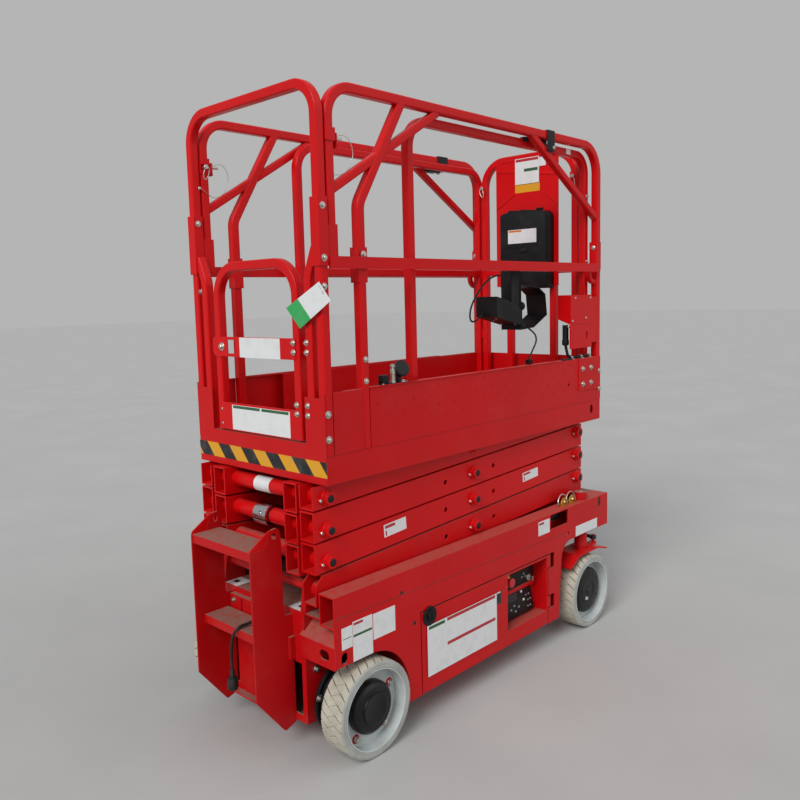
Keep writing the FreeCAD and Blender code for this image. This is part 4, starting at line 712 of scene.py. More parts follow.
@dataclass
class Studio:
    """Floor, lamps and the camera at the photograph's place."""

    camera_at: Point = (-2.3241, -2.1490, 1.4862)
    yaw: float = 0.7647
    pitch: float = 0.1174
    roll: float = -0.0257
    focal_px: float = 789.36
    centre_px: Point = (392.92, 392.02)
    picture_px: float = 800.0
    sensor_mm: float = 36.0

    def camera(self) -> None:
        """Places the camera by the fitted angles."""
        ahead = Vector((math.cos(self.pitch) * math.cos(self.yaw),
                        math.cos(self.pitch) * math.sin(self.yaw), -math.sin(self.pitch)))
        level = Vector((math.sin(self.yaw), -math.cos(self.yaw), 0))
        above = level.cross(ahead)
        c, s = math.cos(self.roll), math.sin(self.roll)
        right = level * c + above * s
        up = above * c - level * s
        data = bpy.data.cameras.new("photo_camera")
        data.sensor_width = self.sensor_mm
        data.lens = self.focal_px / self.picture_px * self.sensor_mm
        half = self.picture_px / 2
        data.shift_x = (half - self.centre_px[0]) / self.picture_px
        data.shift_y = -(half - self.centre_px[1]) / self.picture_px
        data.clip_start, data.clip_end = 0.05, 200.0
        camera = bpy.data.objects.new("photo_camera", data)
        turned = Matrix((right, up, -ahead)).transposed()
        camera.matrix_world = Matrix.Translation(self.camera_at) @ turned.to_4x4()
        bpy.context.scene.collection.objects.link(camera)
        bpy.context.scene.camera = camera

    def lamp(self, name: str, way: Point, strength: float, angle: float = 28.0) -> None:
        """Adds a wide soft lamp that lights everything alike.

        Args:
            name: The lamp's name.
            way: Direction from the machine to the lamp.
            strength: Its strength.
            angle: Width of the lamp as seen from the machine, in degrees.
        """
        data = bpy.data.lights.new(name, "SUN")
        data.angle = math.radians(angle)
        data.energy = strength
        lamp = bpy.data.objects.new(name, data)
        lamp.rotation_euler = Vector(way).to_track_quat("Z", "Y").to_euler()
        bpy.context.scene.collection.objects.link(lamp)

    def floor(self) -> None:
        """Adds the floor and the pale surroundings."""
        mesh = bpy.data.meshes.new("floor")
        reach = 60.0
        mesh.from_pydata([(-reach, -reach, 0), (reach, -reach, 0), (reach, reach, 0),
                          (-reach, reach, 0)], [], [(0, 1, 2, 3)])
        mesh.materials.append(FLOOR.material())
        floor = bpy.data.objects.new("floor", mesh)
        bpy.context.scene.collection.objects.link(floor)
        world = bpy.data.worlds.new("surroundings")
        world.use_nodes = True
        tree = world.node_tree
        tree.nodes.clear()
        seen = add_node(tree, "ShaderNodeBackground", {"Color": linear("B4B5B4"), "Strength": 1.0})
        light = add_node(tree, "ShaderNodeBackground", {"Color": linear("F4F6FA"), "Strength": 0.45})
        rays = add_node(tree, "ShaderNodeLightPath")
        mirrored = add_node(tree, "ShaderNodeMath", operation="MAXIMUM", links={
            0: rays.outputs["Is Glossy Ray"], 1: rays.outputs["Is Transmission Ray"]})
        straight = add_node(tree, "ShaderNodeMath", operation="MAXIMUM", links={
            0: rays.outputs["Is Camera Ray"], 1: mirrored.outputs[0]})
        mix = add_node(tree, "ShaderNodeMixShader", links={
            0: straight.outputs[0], 1: light.outputs[0], 2: seen.outputs[0]})
        add_node(tree, "ShaderNodeOutputWorld", links={"Surface": mix.outputs[0]})
        bpy.context.scene.world = world

    def build(self) -> None:
        """Sets up the camera, the floor and the light."""
        self.camera()
        self.floor()
        self.lamp("key", (-0.75, -0.22, 0.62), 2.0)
        self.lamp("fill", (0.35, -0.75, 0.55), 0.5, 60.0)
        scene = bpy.context.scene
        scene.view_settings.view_transform = "Standard"


@dataclass
class Cords:
    """The charging lead at the rear and the two cables of the platform controls."""

    lead_points: tuple[Point, ...] = ((-784, -64, 448), (-832, -44, 425.5), (-904, -37, 425.5),
                                      (-906, -12, 346), (-905, -14, 270))
    cable_points: tuple[Point, ...] = ((478, -262, 1347.6), (516, -269, 1327), (521, -273, 1292),
                                       (484, -277, 1258), (418, -303, 1227.4))
    loop_points: tuple[Point, ...] = (
        (335, -273.7, 1560), (276, -270, 1572), (208, -262, 1560), (146, -254, 1508),
        (104, -246, 1446), (116, -232, 1392), (170, -220, 1386), (230, -214.6, 1419))
    lead_radius: float = 5.0
    cable_radius: float = 3.5

    def line(self, name: str, points: Sequence[Point], radius: float, body: str,
             node: str) -> bpy.types.Object:
        """Makes a cord as a smooth curve in place of its CAD solid.

        Args:
            name: The piece's name.
            points: Control points of its route.
            radius: Radius of the cord.
            body: The body that it rides.
            node: The CAD node that it stands for.

        Returns:
            The curve.
        """
        data = bpy.data.curves.new(name, "CURVE")
        data.dimensions = "3D"
        data.bevel_depth = radius * MM
        data.bevel_resolution = 3
        data.resolution_u = 16
        data.use_fill_caps = True
        spline = data.splines.new("NURBS")
        spline.points.add(len(points) - 1)
        for spot, at in zip(spline.points, points):
            spot.co = (at[0] * MM, at[1] * MM, at[2] * MM, 1.0)
        spline.order_u = 3
        spline.use_endpoint_u = True
        data.materials.append(SHEATH.material())
        cord = bpy.data.objects.new(name, data)
        bpy.context.scene.collection.objects.link(cord)
        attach(cord, body)
        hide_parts(node)
        return cord

    def length(self, cord: bpy.types.Object) -> float:
        """Measures a cord's line.

        Args:
            cord: The curve.

        Returns:
            Its length in metres.
        """
        return cord.data.splines[0].calc_length()

    def plug(self) -> bpy.types.Object:
        """Makes the plug with its ribbed neck.

        Returns:
            The plug.
        """
        form = Form("charging_plug", SHEATH, ZINC)
        top = Vector(self.lead_points[-1])
        profile = [(5.2, 8.0), (7.0, 4.0)]
        for k in range(4):
            profile += [(8.6, -1.0 - 5.0 * k), (7.2, -3.5 - 5.0 * k)]
        profile += [(15.5, -23), (17, -27), (17, -58), (15, -63), (0, -63)]
        form.turn(profile, top, (0, 0, 1), 0, 24)
        for side in (-5.5, 5.5):
            form.box((top.x - 2.5, top.y + side - 0.8, top.z - 66), (top.x + 2.5, top.y + side + 0.8,
                     top.z - 60), 1)
        plug = form.done("chassis")
        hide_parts("power_plug")
        return plug

    def relief(self) -> None:
        """Makes the ribbed strain relief where the lead leaves the chassis."""
        form = Form("strain_relief", SHEATH)
        start = Vector(self.lead_points[0])
        way = (Vector(self.lead_points[1]) - start).normalized()
        profile = [(10.5, -12.0), (10.5, -2.0)]
        for k in range(5):
            wide = 9.8 - 0.8 * k
            profile += [(wide, 0.5 + 5.0 * k), (wide - 1.3, 3.0 + 5.0 * k)]
        profile.append((0, 25.0))
        form.turn(profile, start, way, 0, 24)
        form.done("chassis")

    def build(self) -> None:
        lead = self.line("charging_lead", self.lead_points, self.lead_radius, "chassis",
                         "power_cord")
        plug = self.plug()
        self.relief()
        cable = self.line("control_lead", self.cable_points, self.cable_radius, "extension",
                          "control_cable")
        loop = self.line("control_loop_lead", self.loop_points, self.cable_radius, "extension",
                         "control_loop")
        for cord, end, pieces, points, radius in (
                (lead, "plug", [plug], self.lead_points, self.lead_radius),
                (cable, "object", [], self.cable_points, self.cable_radius),
                (loop, "object", [], self.loop_points, self.cable_radius)):
            self.length(cord)


class Side(Enum):
    """The machine's two long sides, as the sign of Y."""

    LEFT = 1
    RIGHT = -1

    @property
    def word(self) -> str:
        """Returns the side's name in node and body names."""
        return self.name.lower()


class End(Enum):
    """The machine's two ends, as the X of their axle."""

    REAR = -626.0
    FRONT = 742.0

    @property
    def word(self) -> str:
        """Returns the end's name in node and body names."""
        return self.name.lower()


@dataclass
class Wheel:
    """One solid tyre with its tread, hub cap and wheel bolts."""

    end: End
    side: Side
    radius: float = 161.5
    bore: float = 136.0
    inner_y: float = 315.0
    outer_y: float = 415.0
    lugs: int = 30
    groove: float = 3.2
    steps_per_lug: int = 20
    rows: int = 44
    face_y: float = 367.0
    cap_y: float = 407.0
    bolt_circle: float = 110.0
    bolts: int = 5

    @property
    def body(self) -> str:
        """Returns the body that the wheel's pieces ride."""
        return f"wheel_{self.end.word}_{self.side.word}"

    def cut(self, along: float, across: float) -> float:
        """Finds how deep the tread is cut at a place.

        Args:
            along: Way round the tread in lugs.
            across: Way across the tread from -1 inside to 1 outside.

        Returns:
            Depth of the groove as a share of its full depth.
        """
        pitch = 2 * math.pi * self.radius / self.lugs
        half = (self.outer_y - self.inner_y) / 2
        depth = 0.0
        for sign, shift in ((1, 0.0), (-1, 0.5)):
            reach = across * sign
            if reach > 0.34:
                slant = (reach - 0.34) * half * 0.62 / pitch
                off = abs((along - shift - slant * sign + 0.5) % 1.0 - 0.5) * pitch
                depth = max(depth, 1.0 - (off / 2.2) ** 2)
        ramp = (along % 1.0) * 2
        ramp = ramp if ramp <= 1 else 2 - ramp
        off = abs(across - 0.34 + 0.68 * ramp) * half * 0.62
        if abs(across) < 0.4:
            depth = max(depth, 0.5 * (1.0 - (off / 1.8) ** 2))
        return max(depth, 0.0)

    def tyre(self) -> None:
        """Makes the tyre with rounded shoulders, tread cuts and a rib at its bead."""
        form = Form(f"tyre_tread_{self.end.word}_{self.side.word}", TYRE, TYRE_WALL_SHADED, TYRE_GROOVE_SHADE)
        half = (self.outer_y - self.inner_y) / 2
        middle = (self.outer_y + self.inner_y) / 2
        steps = self.lugs * self.steps_per_lug
        sidewall = ((self.bore + 0.3, half - 1.5), (self.bore + 3, half), (self.bore + 6, half),
                    (self.bore + 8, half - 1.2), (self.bore + 10, half - 0.4),
                    (self.radius - 9, half - 0.4), (self.radius - 5, half - 2.0))
        rings = [(r, -y, False) for r, y in sidewall]
        for k in range(self.rows + 1):
            across = -1 + 2 * k / self.rows
            crown = 1.6 * across ** 4
            rings.append((self.radius - crown, across * (half - 4.0), True))
        rings += [(r, y, False) for r, y in reversed(sidewall)]
        grid = []
        for radius, y, treaded in rings:
            row = []
            for k in range(steps):
                angle = 2 * math.pi * k / steps
                deep = self.groove * self.cut(k / self.steps_per_lug, y / half) if treaded else 0
                reach = radius - deep
                row.append(form.mesh.verts.new((
                    self.end.value + reach * math.cos(angle), self.side.value * (middle + y),
                    self.radius + reach * math.sin(angle))))
            grid.append(row)
        order = range(len(grid))
        for a, b in zip(order, list(order[1:]) + [0]):
            for k in range(steps):
                n = (k + 1) % steps
                corners = (grid[a][k], grid[a][n], grid[b][n], grid[b][k])
                face = form.mesh.faces.new(corners if self.side is Side.RIGHT else corners[::-1])
                across = (rings[a][1] + rings[b][1]) / 2 / half
                treaded = rings[a][2] and rings[b][2]
                deep = self.cut((k + 0.5) / self.steps_per_lug, across) if treaded else 0.0
                # Faces deep in the grooves take the painted groove shade rubber.
                # Sidewall and shoulder faces take the painted-shade copy of the tread rubber.
                face.material_index = 2 if deep > 0.45 else 0 if treaded else 1
        made = form.done(self.body)
        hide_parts(f"tyre_{self.end.word}_{self.side.word}")

    def hub(self) -> None:
        """Makes the black cap, its rings, the wheel bolts and the rim's rolled lip."""
        form = Form(f"hub_cap_{self.end.word}_{self.side.word}", CAP, ZINC, RIM_PAINT, RED)
        out = (0, self.side.value, 0)
        origin = (self.end.value, 0, self.radius)
        lip = self.outer_y - 3
        form.turn(((131.0, lip - 4), (131.0, lip + 1), (132.5, lip + 2.4), (135.2, lip + 2.4),
                   (135.8, lip + 1), (135.8, lip - 4)), origin, out, 2, 96, True)
        if self.end is End.REAR:
            form.turn(((88.2, self.face_y - 1), (88.2, self.face_y + 20), (86, self.face_y + 26),
                       (78, self.cap_y - 6.5), (72, self.cap_y - 4.2), (70, self.cap_y - 5.2),
                       (54, self.cap_y - 3.6), (52.5, self.cap_y + 0.8), (49, self.cap_y + 1.6),
                       (47, self.cap_y + 0.5), (0, self.cap_y + 0.9)), origin, out, 0, 64)
        else:
            top = self.face_y + 30
            form.turn(((101.0, self.face_y - 1), (101.0, top - 9), (97, top - 4), (88, top + 0.6),
                       (62, top + 1.2), (60, top + 3.2), (40, top + 3.8), (38, top + 2.0),
                       (20, top + 2.0), (18.5, top + 5), (0, top + 5.6)), origin, out, 0, 64)
            for k in range(6):
                angle = math.radians(60 * k + 30)
                form.dome((self.end.value + 76 * math.cos(angle), self.side.value * (top + 0.8),
                           self.radius + 76 * math.sin(angle)), out, 5.0, 0)
            tag = Matrix.Translation((self.end.value - 22, self.side.value * (top + 3.6),
                                      self.radius - 31)) @ Matrix.Rotation(0.3, 4, "Y")
            form.block(tag, (21, 1.6, 13), 2, 0.3)
        for k in range(self.bolts):
            angle = math.radians(360 / self.bolts * k + 22)
            spot = (self.end.value + self.bolt_circle * math.cos(angle),
                    self.side.value * (self.face_y + 0.1),
                    self.radius + self.bolt_circle * math.sin(angle))
            form.turn(((15.0, -0.2), (14.6, 2.6), (13.0, 3.6), (0, 3.6)), spot, out, 3, 24)
            form.turn(((10.5, 3.4), (10.5, 6.0), (9.5, 7.0), (0, 7.0)), spot, out, 1, 24)
            form.bolt((spot[0], spot[1] + 6.8 * self.side.value, spot[2]), out, 15.0, 1, False)
        form.done(self.body)

    def build(self) -> None:
        """Makes the wheel's pieces."""
        self.tyre()
        self.hub()


@dataclass
class Scissor:
    """Pin ends, grease points, labels and guards on the arms."""

    rear_x: float = -720.0
    base_z: float = 559.0
    rise: float = 103.3
    length: float = 1504.0
    outer_y: float = 309.0
    flange: float = 7.0
    plug_radius: float = 13.0
    outer_offset: float = 18.0

    @property
    def run(self) -> float:
        """Returns the way along X between an arm's end pins."""
        return math.sqrt(self.length ** 2 - self.rise ** 2)

    def pins(self, level: int) -> tuple[tuple[float, float], ...]:
        """Lists the pin ends that show on the outside of one level's outer arms.

        Args:
            level: The level from 1 at the foot.

        Returns:
            X and Z of each pin end.
        """
        low = self.base_z + (level - 1) * self.rise
        ends = [(self.rear_x + self.run / 2, low + self.rise / 2)]
        if level > 1:
            ends.append((self.rear_x, low))
        if level < 4:
            ends.append((self.rear_x + self.run, low + self.rise))
        return tuple(ends)

    def fittings(self, level: int) -> None:
        """Makes the black plugs and bolts at the pin ends of one level.

        Args:
            level: The level from 1 at the foot.
        """
        form = Form(f"pin_fittings_{level}", CAP, ZINC, RED)
        for side in Side:
            out = (0, side.value, 0)
            for x, z in self.pins(level):
                face = side.value * (self.outer_y + self.flange)
                top = side.value * (self.outer_y + self.flange + 14)
                collar = ((26.8, -7.2), (26.8, -1.2), (25.6, 0.3), (21, 0.3), (21, -7.2))
                form.turn(collar, (x, face, z), out, 2, 40, True)
                form.turn(((21.3, -0.3), (21.3, 12.4), (19.6, 14.3), (13.4, 14.3), (13.0, 13.4),
                           (13.0, -0.3)), (x, face, z), out, 2, 40, True)
                form.turn(((12.9, -6.0), (12.6, 0.6), (11.0, 1.6), (5.0, 1.9), (0, 1.2)),
                          (x, top, z), out, 0, 32)
                form.turn(((7.5, -0.1), (7.5, 3.4), (6.0, 4.4), (0, 4.4)),
                          (x - 31.0, side.value * self.outer_y, z - 3.0), out, 2, 20)
                form.bolt((x - 31.0, side.value * (self.outer_y + 4.2), z - 3.0), out, 10.0, 1,
                          False)
        form.done(f"arm_outer_{level}")

    def sleeve_ring(self) -> None:
        """Makes the black clamp ring and the label on the rear cross tubes."""
        clamp = Form("cross_tube_clamp", PLASTIC, ZINC)
        z = self.base_z + 2 * self.rise
        at = (self.rear_x, -14, z)
        clamp.turn(((27.2, 0), (31.5, 0.6), (31.5, 15.4), (27.2, 16)), at, (0, 1, 0), 0, 40, True)
        clamp.box((self.rear_x - 37, -12, z + 4), (self.rear_x - 28, 0, z + 18), 0, 1.5)
        clamp.bolt((self.rear_x - 37, -6, z + 11), (-1, 0, 0), 7.0, 1, False)
        clamp.done("arm_inner_2")
        wrap = Form("cross_tube_label", WHITE_FILM)
        z = self.base_z + 3 * self.rise
        self._wrap(wrap, (self.rear_x, z), 27.25, -46, 38, 95, 265)
        wrap.done("arm_inner_3")

    def _wrap(self, form: Form, centre: tuple[float, float], radius: float, low: float,
              high: float, start: float, stop: float) -> None:
        """Adds a film wrapped round part of a cross tube.

        Args:
            form: The form that takes it.
            centre: X and Z of the tube's axis.
            radius: Radius of the film's inner face.
            low: Lowest Y.
            high: Highest Y.
            start: First angle from +X in degrees.
            stop: Last angle in degrees.
        """
        steps = 18
        rows = []
        for k in range(steps + 1):
            angle = math.radians(start + (stop - start) * k / steps)
            way = (math.cos(angle), math.sin(angle))
            rows.append([form.mesh.verts.new((centre[0] + way[0] * r, y, centre[1] + way[1] * r))
                         for r, y in ((radius, low), (radius + 0.4, low), (radius + 0.4, high),
                                      (radius, high))])
        for one, two in zip(rows, rows[1:]):
            for k in range(4):
                n = (k + 1) % 4
                form.mesh.faces.new((one[k], two[k], two[n], one[n]))
        form.mesh.faces.new(rows[0])
        form.mesh.faces.new(list(reversed(rows[-1])))

    def labels(self) -> None:
        """Makes the two small labels on each side of the second level."""
        slope = self.rise / self.run
        form = Form("arm_labels", WHITE_FILM, RED_FILM)
        bands = (Band(0.05, 0.66, 0.5, 0.9, 1), Band(0.06, 0.1, 0.12, 0.5, 1))
        for side in Side:
            for x, z, width, height in ((-412.0, 704.0, 111.0, 44.0), (414.0, 739.5, 112.0, 38.0)):
                Label((x, side.value * self.outer_y, z), width, height, (0, side.value, 0),
                      (-slope, 0, 1), bands).build(form)
        form.done("arm_outer_2")

    def build(self) -> None:
        """Makes the scissor's pieces."""
        for level in range(1, 5):
            self.fittings(level)
        self.sleeve_ring()
        self.labels()


@dataclass
class Chassis:
    """Labels, lashing rings, hoses and small hardware of the base frame."""

    side_y: float = 390.0
    sill_top_z: float = 575.0
    sill_y: float = 355.0
    seam_z: tuple[float, float] = (506.0, 468.0)
    ring_xs: tuple[float, ...] = (602.0, 668.0)
    window: tuple[float, float, float] = (479.0, 573.0, 512.0)

    def labels(self) -> None:
        """Makes the blank labels on both long sides and on the rear deck."""
        form = Form("chassis_labels", WHITE_FILM, RED_FILM, GREEN_FILM, BLACK_FILM)
        sheets = (
            (-727.0, 434.0, 46.0, 71.0, (Band(0.1, 0.46, 0.9, 0.49, 3),)),
            (-658.5, 411.0, 88.0, 132.0,
             (Band(0.05, 0.9, 0.52, 0.965, 1), Band(0.03, 0.61, 0.97, 0.67, 2))),
            (-559.5, 430.5, 103.0, 87.0, ()),
            (392.0, 531.5, 84.0, 59.0, (Band(0.06, 0.74, 0.5, 0.9, 1),)),
            (734.5, 454.5, 184.0, 45.0, ()))
        for side in Side:
            for x, z, width, height, bands in sheets:
                Label((x, side.value * self.side_y, z), width, height, (0, side.value, 0),
                      bands=bands).build(form)
        for side in Side:
            Label((-729.0, side.value * 184.0, 484.0), 80.0, 66.0, (0, 0, 1), (1, 0, 0),
                  (Band(0.3, 0.3, 0.62, 0.62, 3),)).build(form)
        form.done("chassis")

    def seams(self) -> None:
        """Makes the pressed seam along both sides, from the rear to the window: a red lip over a thin
        black strip of painted shade along the crease.
        """
        form = Form("side_seams", RED_USED, BLACK_FILM)
        for side in Side:
            face = side.value * self.side_y
            rear, front = self.seam_z
            line = ((-772.0, rear), (560.0, front))
            corners = [(x, face, z + d) for (x, z), d in
                       ((line[0], 0.9), (line[1], 0.9), (line[1], -0.9), (line[0], -0.9))]
            # Painted shade: a thin black strip along the crease line.
            form.slab(corners, (0, side.value * 0.25, 0), 1)
            lip = [(x, face, z + d) for (x, z), d in
                   ((line[0], 4.0), (line[1], 4.0), (line[1], 0.9), (line[0], 0.9))]
            form.slab(lip, (0, side.value * 0.8, 0), 0)
        form.done("chassis")

    def rings(self) -> None:
        """Makes the passivated half-round lashing plates and their wire bails on the sills."""
        form = Form("lashing_rings", BRASS, ZINC, RED)
        for side in Side:
            y = side.value * self.sill_y
            for x in self.ring_xs:
                arc = [(x + 27 * math.cos(a), y - 2.5, self.sill_top_z + 2 + 34 * math.sin(a))
                       for a in [math.pi * k / 14 for k in range(15)]]
                form.slab(arc, (0, 5.0, 0), 0, 0.8)
                form.box((x - 31, y - 9, self.sill_top_z - 0.2),
                         (x + 31, y + 9, self.sill_top_z + 3.0), 0, 0.8)
                wire = [(x - 36, y + 4, self.sill_top_z + 3), (x - 37, y + 6, self.sill_top_z + 22),
                        (x - 20, y + 9, self.sill_top_z + 42), (x + 4, y + 10, self.sill_top_z + 47),
                        (x + 26, y + 9, self.sill_top_z + 36), (x + 36, y + 6, self.sill_top_z + 16),
                        (x + 35, y + 4, self.sill_top_z + 3)]
                form.hose(wire, 2.6, 1, 8, 5)
                form.bolt((x, y - 2.5, self.sill_top_z + 16), (0, -1, 0), 9.0, 1, False)
            form.turn(((27.0, -0.3), (27.0, 22.0), (24.0, 25.0), (0, 25.0)),
                      (742.0, y, self.sill_top_z), (0, 0, 1), 2, 40)
            form.bolt((742.0, y, self.sill_top_z + 25.0), (0, 0, 1), 17.0, 1)
        form.done("chassis")

    def hoses(self) -> None:
        """Makes the hoses and the cable harness behind the side windows."""
        form = Form("drive_hoses", SHEATH, ZINC, BLACK_FILM)
        x0, x1, z = self.window
        for side in Side:
            y = side.value * 336
            for k, (dz, reach) in enumerate(((8, 0), (19, 5), (31, -4))):
                form.hose([(x0 - 20, y + side.value * 4 * k, z + dz - 2),
                           ((x0 + x1) / 2 - 12, y + side.value * (4 * k + 3), z + dz + reach),
                           (x1 + 18, y + side.value * 4 * k, z + dz + 3)], 5.0, 0, 8, 6)
            form.turn(((8, 0), (8, 14), (0, 14)), (x0 + 22, y + 2, z + 19), (1, 0, 0), 1, 6)
        form.done("chassis")

    def hardware(self) -> None:
        """Makes the bolts of the rear face, the ladder's studs, dark discs of painted shade in the side
        slots, and a dark backing and oval of painted shade in the nose slot.
        """
        form = Form("chassis_bolts_and_slot_shade", ZINC, SHEATH, RED, PLASTIC)
        for side in Side:
            form.bolt((-719.0, side.value * 225.9, 277), (0, side.value, 0), 15.0)
            form.bolt((-764.0 if side is Side.RIGHT else -782.0, side.value * 139, 442), (-1, 0, 0), 13.0)
            # Painted shade: small dark discs for the slots in the side plates.
            for x, z in ((-412.0, 380.0), (-474.0, 505.0)):
                form.turn(((7.5, -0.2), (7.5, 0.4), (0, 0.4)), (x, side.value * 390, z),
                          (0, side.value, 0), 1, 24)
            # Painted shade: a dark backing plate and a dark oval for the slot in the nose.
            form.box((824, side.value * 383 - 1.5, 518), (866, side.value * 383 + 1.5, 572), 1)
            oval = [(842 + 6.5 * math.cos(a) + 3 * math.sin(a), side.value * 390,
                     543 + 19 * math.sin(a)) for a in [math.pi * k / 12 for k in range(24)]]
            form.slab(oval, (0, side.value * 0.4, 0), 1)
            wing = [(-921.5, side.value * 167.5, 704), (-921.5, side.value * 167.5, 710),
                    (-916, side.value * 167.5, 718), (-846, side.value * 167.5, 763),
                    (-838, side.value * 167.5, 764), (-846, side.value * 167.5, 704)]
            form.slab(wing, (0, -side.value * 5.0, 0), 2)
            disc = (-626.0, side.value * 262, 161.5)
            form.turn(((45, -14), (118, -14), (128, -12), (128, -2), (126, 0), (45, 0)), disc,
                      (0, side.value, 0), 3, 64, True)
            form.bolt((-742.0, side.value * 262, 196.0), (0, side.value, 0), 14.0, 0)
        form.bolt((-756.0, 122.0, 96.0), (0, 0, 1), 15.0)
        form.done("chassis")

    def build(self) -> None:
        """Makes the chassis pieces."""
        self.labels()
        self.seams()
        self.rings()
        self.hoses()
        self.hardware()


@dataclass
class Steering:
    """Rubber boots and lock nuts on the ends of the tie rod."""

    rod_x: float = 852.0
    rod_z: float = 374.0
    boot_y: float = 318.0

    def build(self) -> None:
        """Makes the boots."""
        form = Form("tie_rod_boots", SHEATH, ZINC)
        boot = ((12, 0), (21, 3), (22, 12), (19, 16), (22, 20), (22, 30), (18, 34), (13, 40), (12, 40))
        for side in Side:
            at = (self.rod_x, side.value * (self.boot_y - 64), self.rod_z)
            form.turn(boot, at, (0, side.value, 0), 0, 28)
            form.turn(((14, 0), (14, 9), (0, 9)), (self.rod_x, side.value * (self.boot_y - 78),
                      self.rod_z), (0, side.value, 0), 1, 6)
        form.done("tie_rod")


@dataclass
class Door:
    """One tray's door with its labels and latch."""

    side: Side
    face_y: float = 393.0
    latch: tuple[float, float] = (-336.0, 382.0)

    def build(self) -> None:
        """Makes the door's pieces."""
        word = self.side.word
        face = self.side.value * self.face_y
        out = (0, self.side.value, 0)
        form = Form(f"door_label_{word}", WHITE_FILM, RED_FILM, GREEN_FILM, BLACK_FILM)
        bands = (Band(0.265, 0.92, 0.975, 0.985, 1), Band(0.265, 0.44, 0.975, 0.505, 1),
                 Band(0.02, 0.91, 0.235, 0.97, 2))
        Label((-148.0, face, 255.0), 406.0, 187.0, out, bands=bands).build(form)
        Label((72.5, face - 3.0 * self.side.value, 324.0), 31.0, 50.0, out,
              bands=(Band(0.15, 0.86, 0.85, 0.97, 0),)).build(form, 3)
        form.done(f"tray_{word}")
        form = Form(f"door_latch_{word}", PLASTIC, ZINC, BLACK_FILM)
        x, z = self.latch
        form.turn(((35.0, -0.2), (35.0, 0.8), (33.8, 1.4), (32.0, 1.2), (31.0, 0.4), (0, 0.4)),
                  (x, face, z), out, 0, 48)
        form.turn(((20.0, 0.2), (20.0, 5.0), (18.0, 7.0), (15.0, 7.4), (14.0, 6.4), (0, 6.4)),
                  (x + 7, face, z), out, 0, 40)
        form.box((x + 4.6, face + self.side.value * 6.2, z - 12),
                 (x + 9.4, face + self.side.value * 8.6, z + 12), 0, 0.6)
        form.done(f"tray_{word}")


@dataclass
class Console:
    """The ground controls in the right door's recess."""

    left_x: float = 137.0
    right_x: float = 379.0
    back_y: float = -324.2
    pad_low: tuple[float, float] = (-346.0, 178.0)
    pad_high: tuple[float, float] = (-330.0, 280.0)
    upper_z: tuple[float, float] = (300.0, 361.0)
    upper_y: float = -336.0
    stop_at: tuple[float, float] = (198.0, 341.0)

    def pad(self, form: Form) -> None:
        """Adds the tilted key panel with its display and buttons.

        Args:
            form: The form that takes it.
        """
        (y0, z0), (y1, z1) = self.pad_low, self.pad_high
        outline = [(self.left_x, self.back_y, z0 - 4), (self.left_x, y0, z0), (self.left_x, y1, z1),
                   (self.left_x, self.back_y, z1 + 3)]
        form.slab(outline, (self.right_x - self.left_x, 0, 0), 0, 1.2)
        rise = math.hypot(y1 - y0, z1 - z0)
        up = Vector((0, (y1 - y0) / rise, (z1 - z0) / rise))
        out = Vector((1, 0, 0)).cross(up)
        keys = ((0.70, 0.88, 6, 1), (0.74, 0.53, 6, 1), (0.82, 0.66, 4, 2), (0.90, 0.66, 4, 2),
                (0.93, 0.45, 4, 2), (0.86, 0.44, 4, 2), (0.84, 0.2, 4, 2), (0.91, 0.2, 4, 2),
                (0.46, 0.45, 5, 2), (0.58, 0.34, 5, 2), (0.36, 0.34, 5, 2), (0.48, 0.22, 5, 2))
        turn = Matrix((Vector((1, 0, 0)), up, out)).transposed().to_4x4()
        for across, high, size, finish in keys:
            at = (Vector((self.left_x, y0, z0)) + up * rise * high
                  + Vector(((self.right_x - self.left_x) * across, 0, 0)))
            place = Matrix.Translation(at + out * 0.6) @ turn
            form.block(place, (size * 2, size * 1.6, 2.4), finish, 0.8)
        at = Vector((self.left_x + 92, y0, z0)) + up * rise * 0.78
        form.block(Matrix.Translation(at + out * 0.4) @ turn, (84, 30, 1.6), 3, 0.6)

    def build(self) -> None:
        """Makes the console and puts it in place of its CAD node."""
        form = Form("ground_console", PLASTIC, WHITE_FILM, GREY_KEY, BLACK_FILM, RED_KNOB,
                    YELLOW_FILM, ZINC, RED_USED)
        self.pad(form)
        low, high = self.upper_z
        form.box((self.left_x, self.upper_y, low), (self.right_x + 12, self.back_y, high), 0, 2.0)
        form.box((self.left_x, self.upper_y - 7, self.pad_high[1] + 4),
                 (self.right_x + 8, self.back_y, low - 1), 7, 1.0)
        form.box((self.left_x + 4, self.upper_y, high + 1),
                 (self.right_x + 12, self.back_y, high + 26), 7, 1.0)
        x, z = self.stop_at
        out = (0, -1, 0)
        face = (x, self.upper_y, z)
        form.turn(((27, -0.2), (27, 1.4), (26, 2.0), (0, 2.0)), face, out, 5, 40)
        form.turn(((13, 1.8), (13, 16), (19, 19), (20.5, 24), (19.5, 30), (14, 33), (0, 34)), face,
                  out, 4, 40)
        face = (self.right_x - 28, self.upper_y, z - 23)
        form.turn(((14, -0.2), (14, 5), (12.5, 7), (0, 7)), face, out, 6, 32)
        form.box((face[0] - 2.2, self.upper_y - 26, face[2] - 9), (face[0] + 2.2, self.upper_y - 6,
                 face[2] + 9), 6, 0.8)
        for dx, dz in ((-72, -4), (-58, 8), (-46, -6)):
            form.dome((self.right_x + dx, self.upper_y, z + dz - 8), out, 5.0, 2)
        made = form.done("tray_right")
        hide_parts("ground_controls")


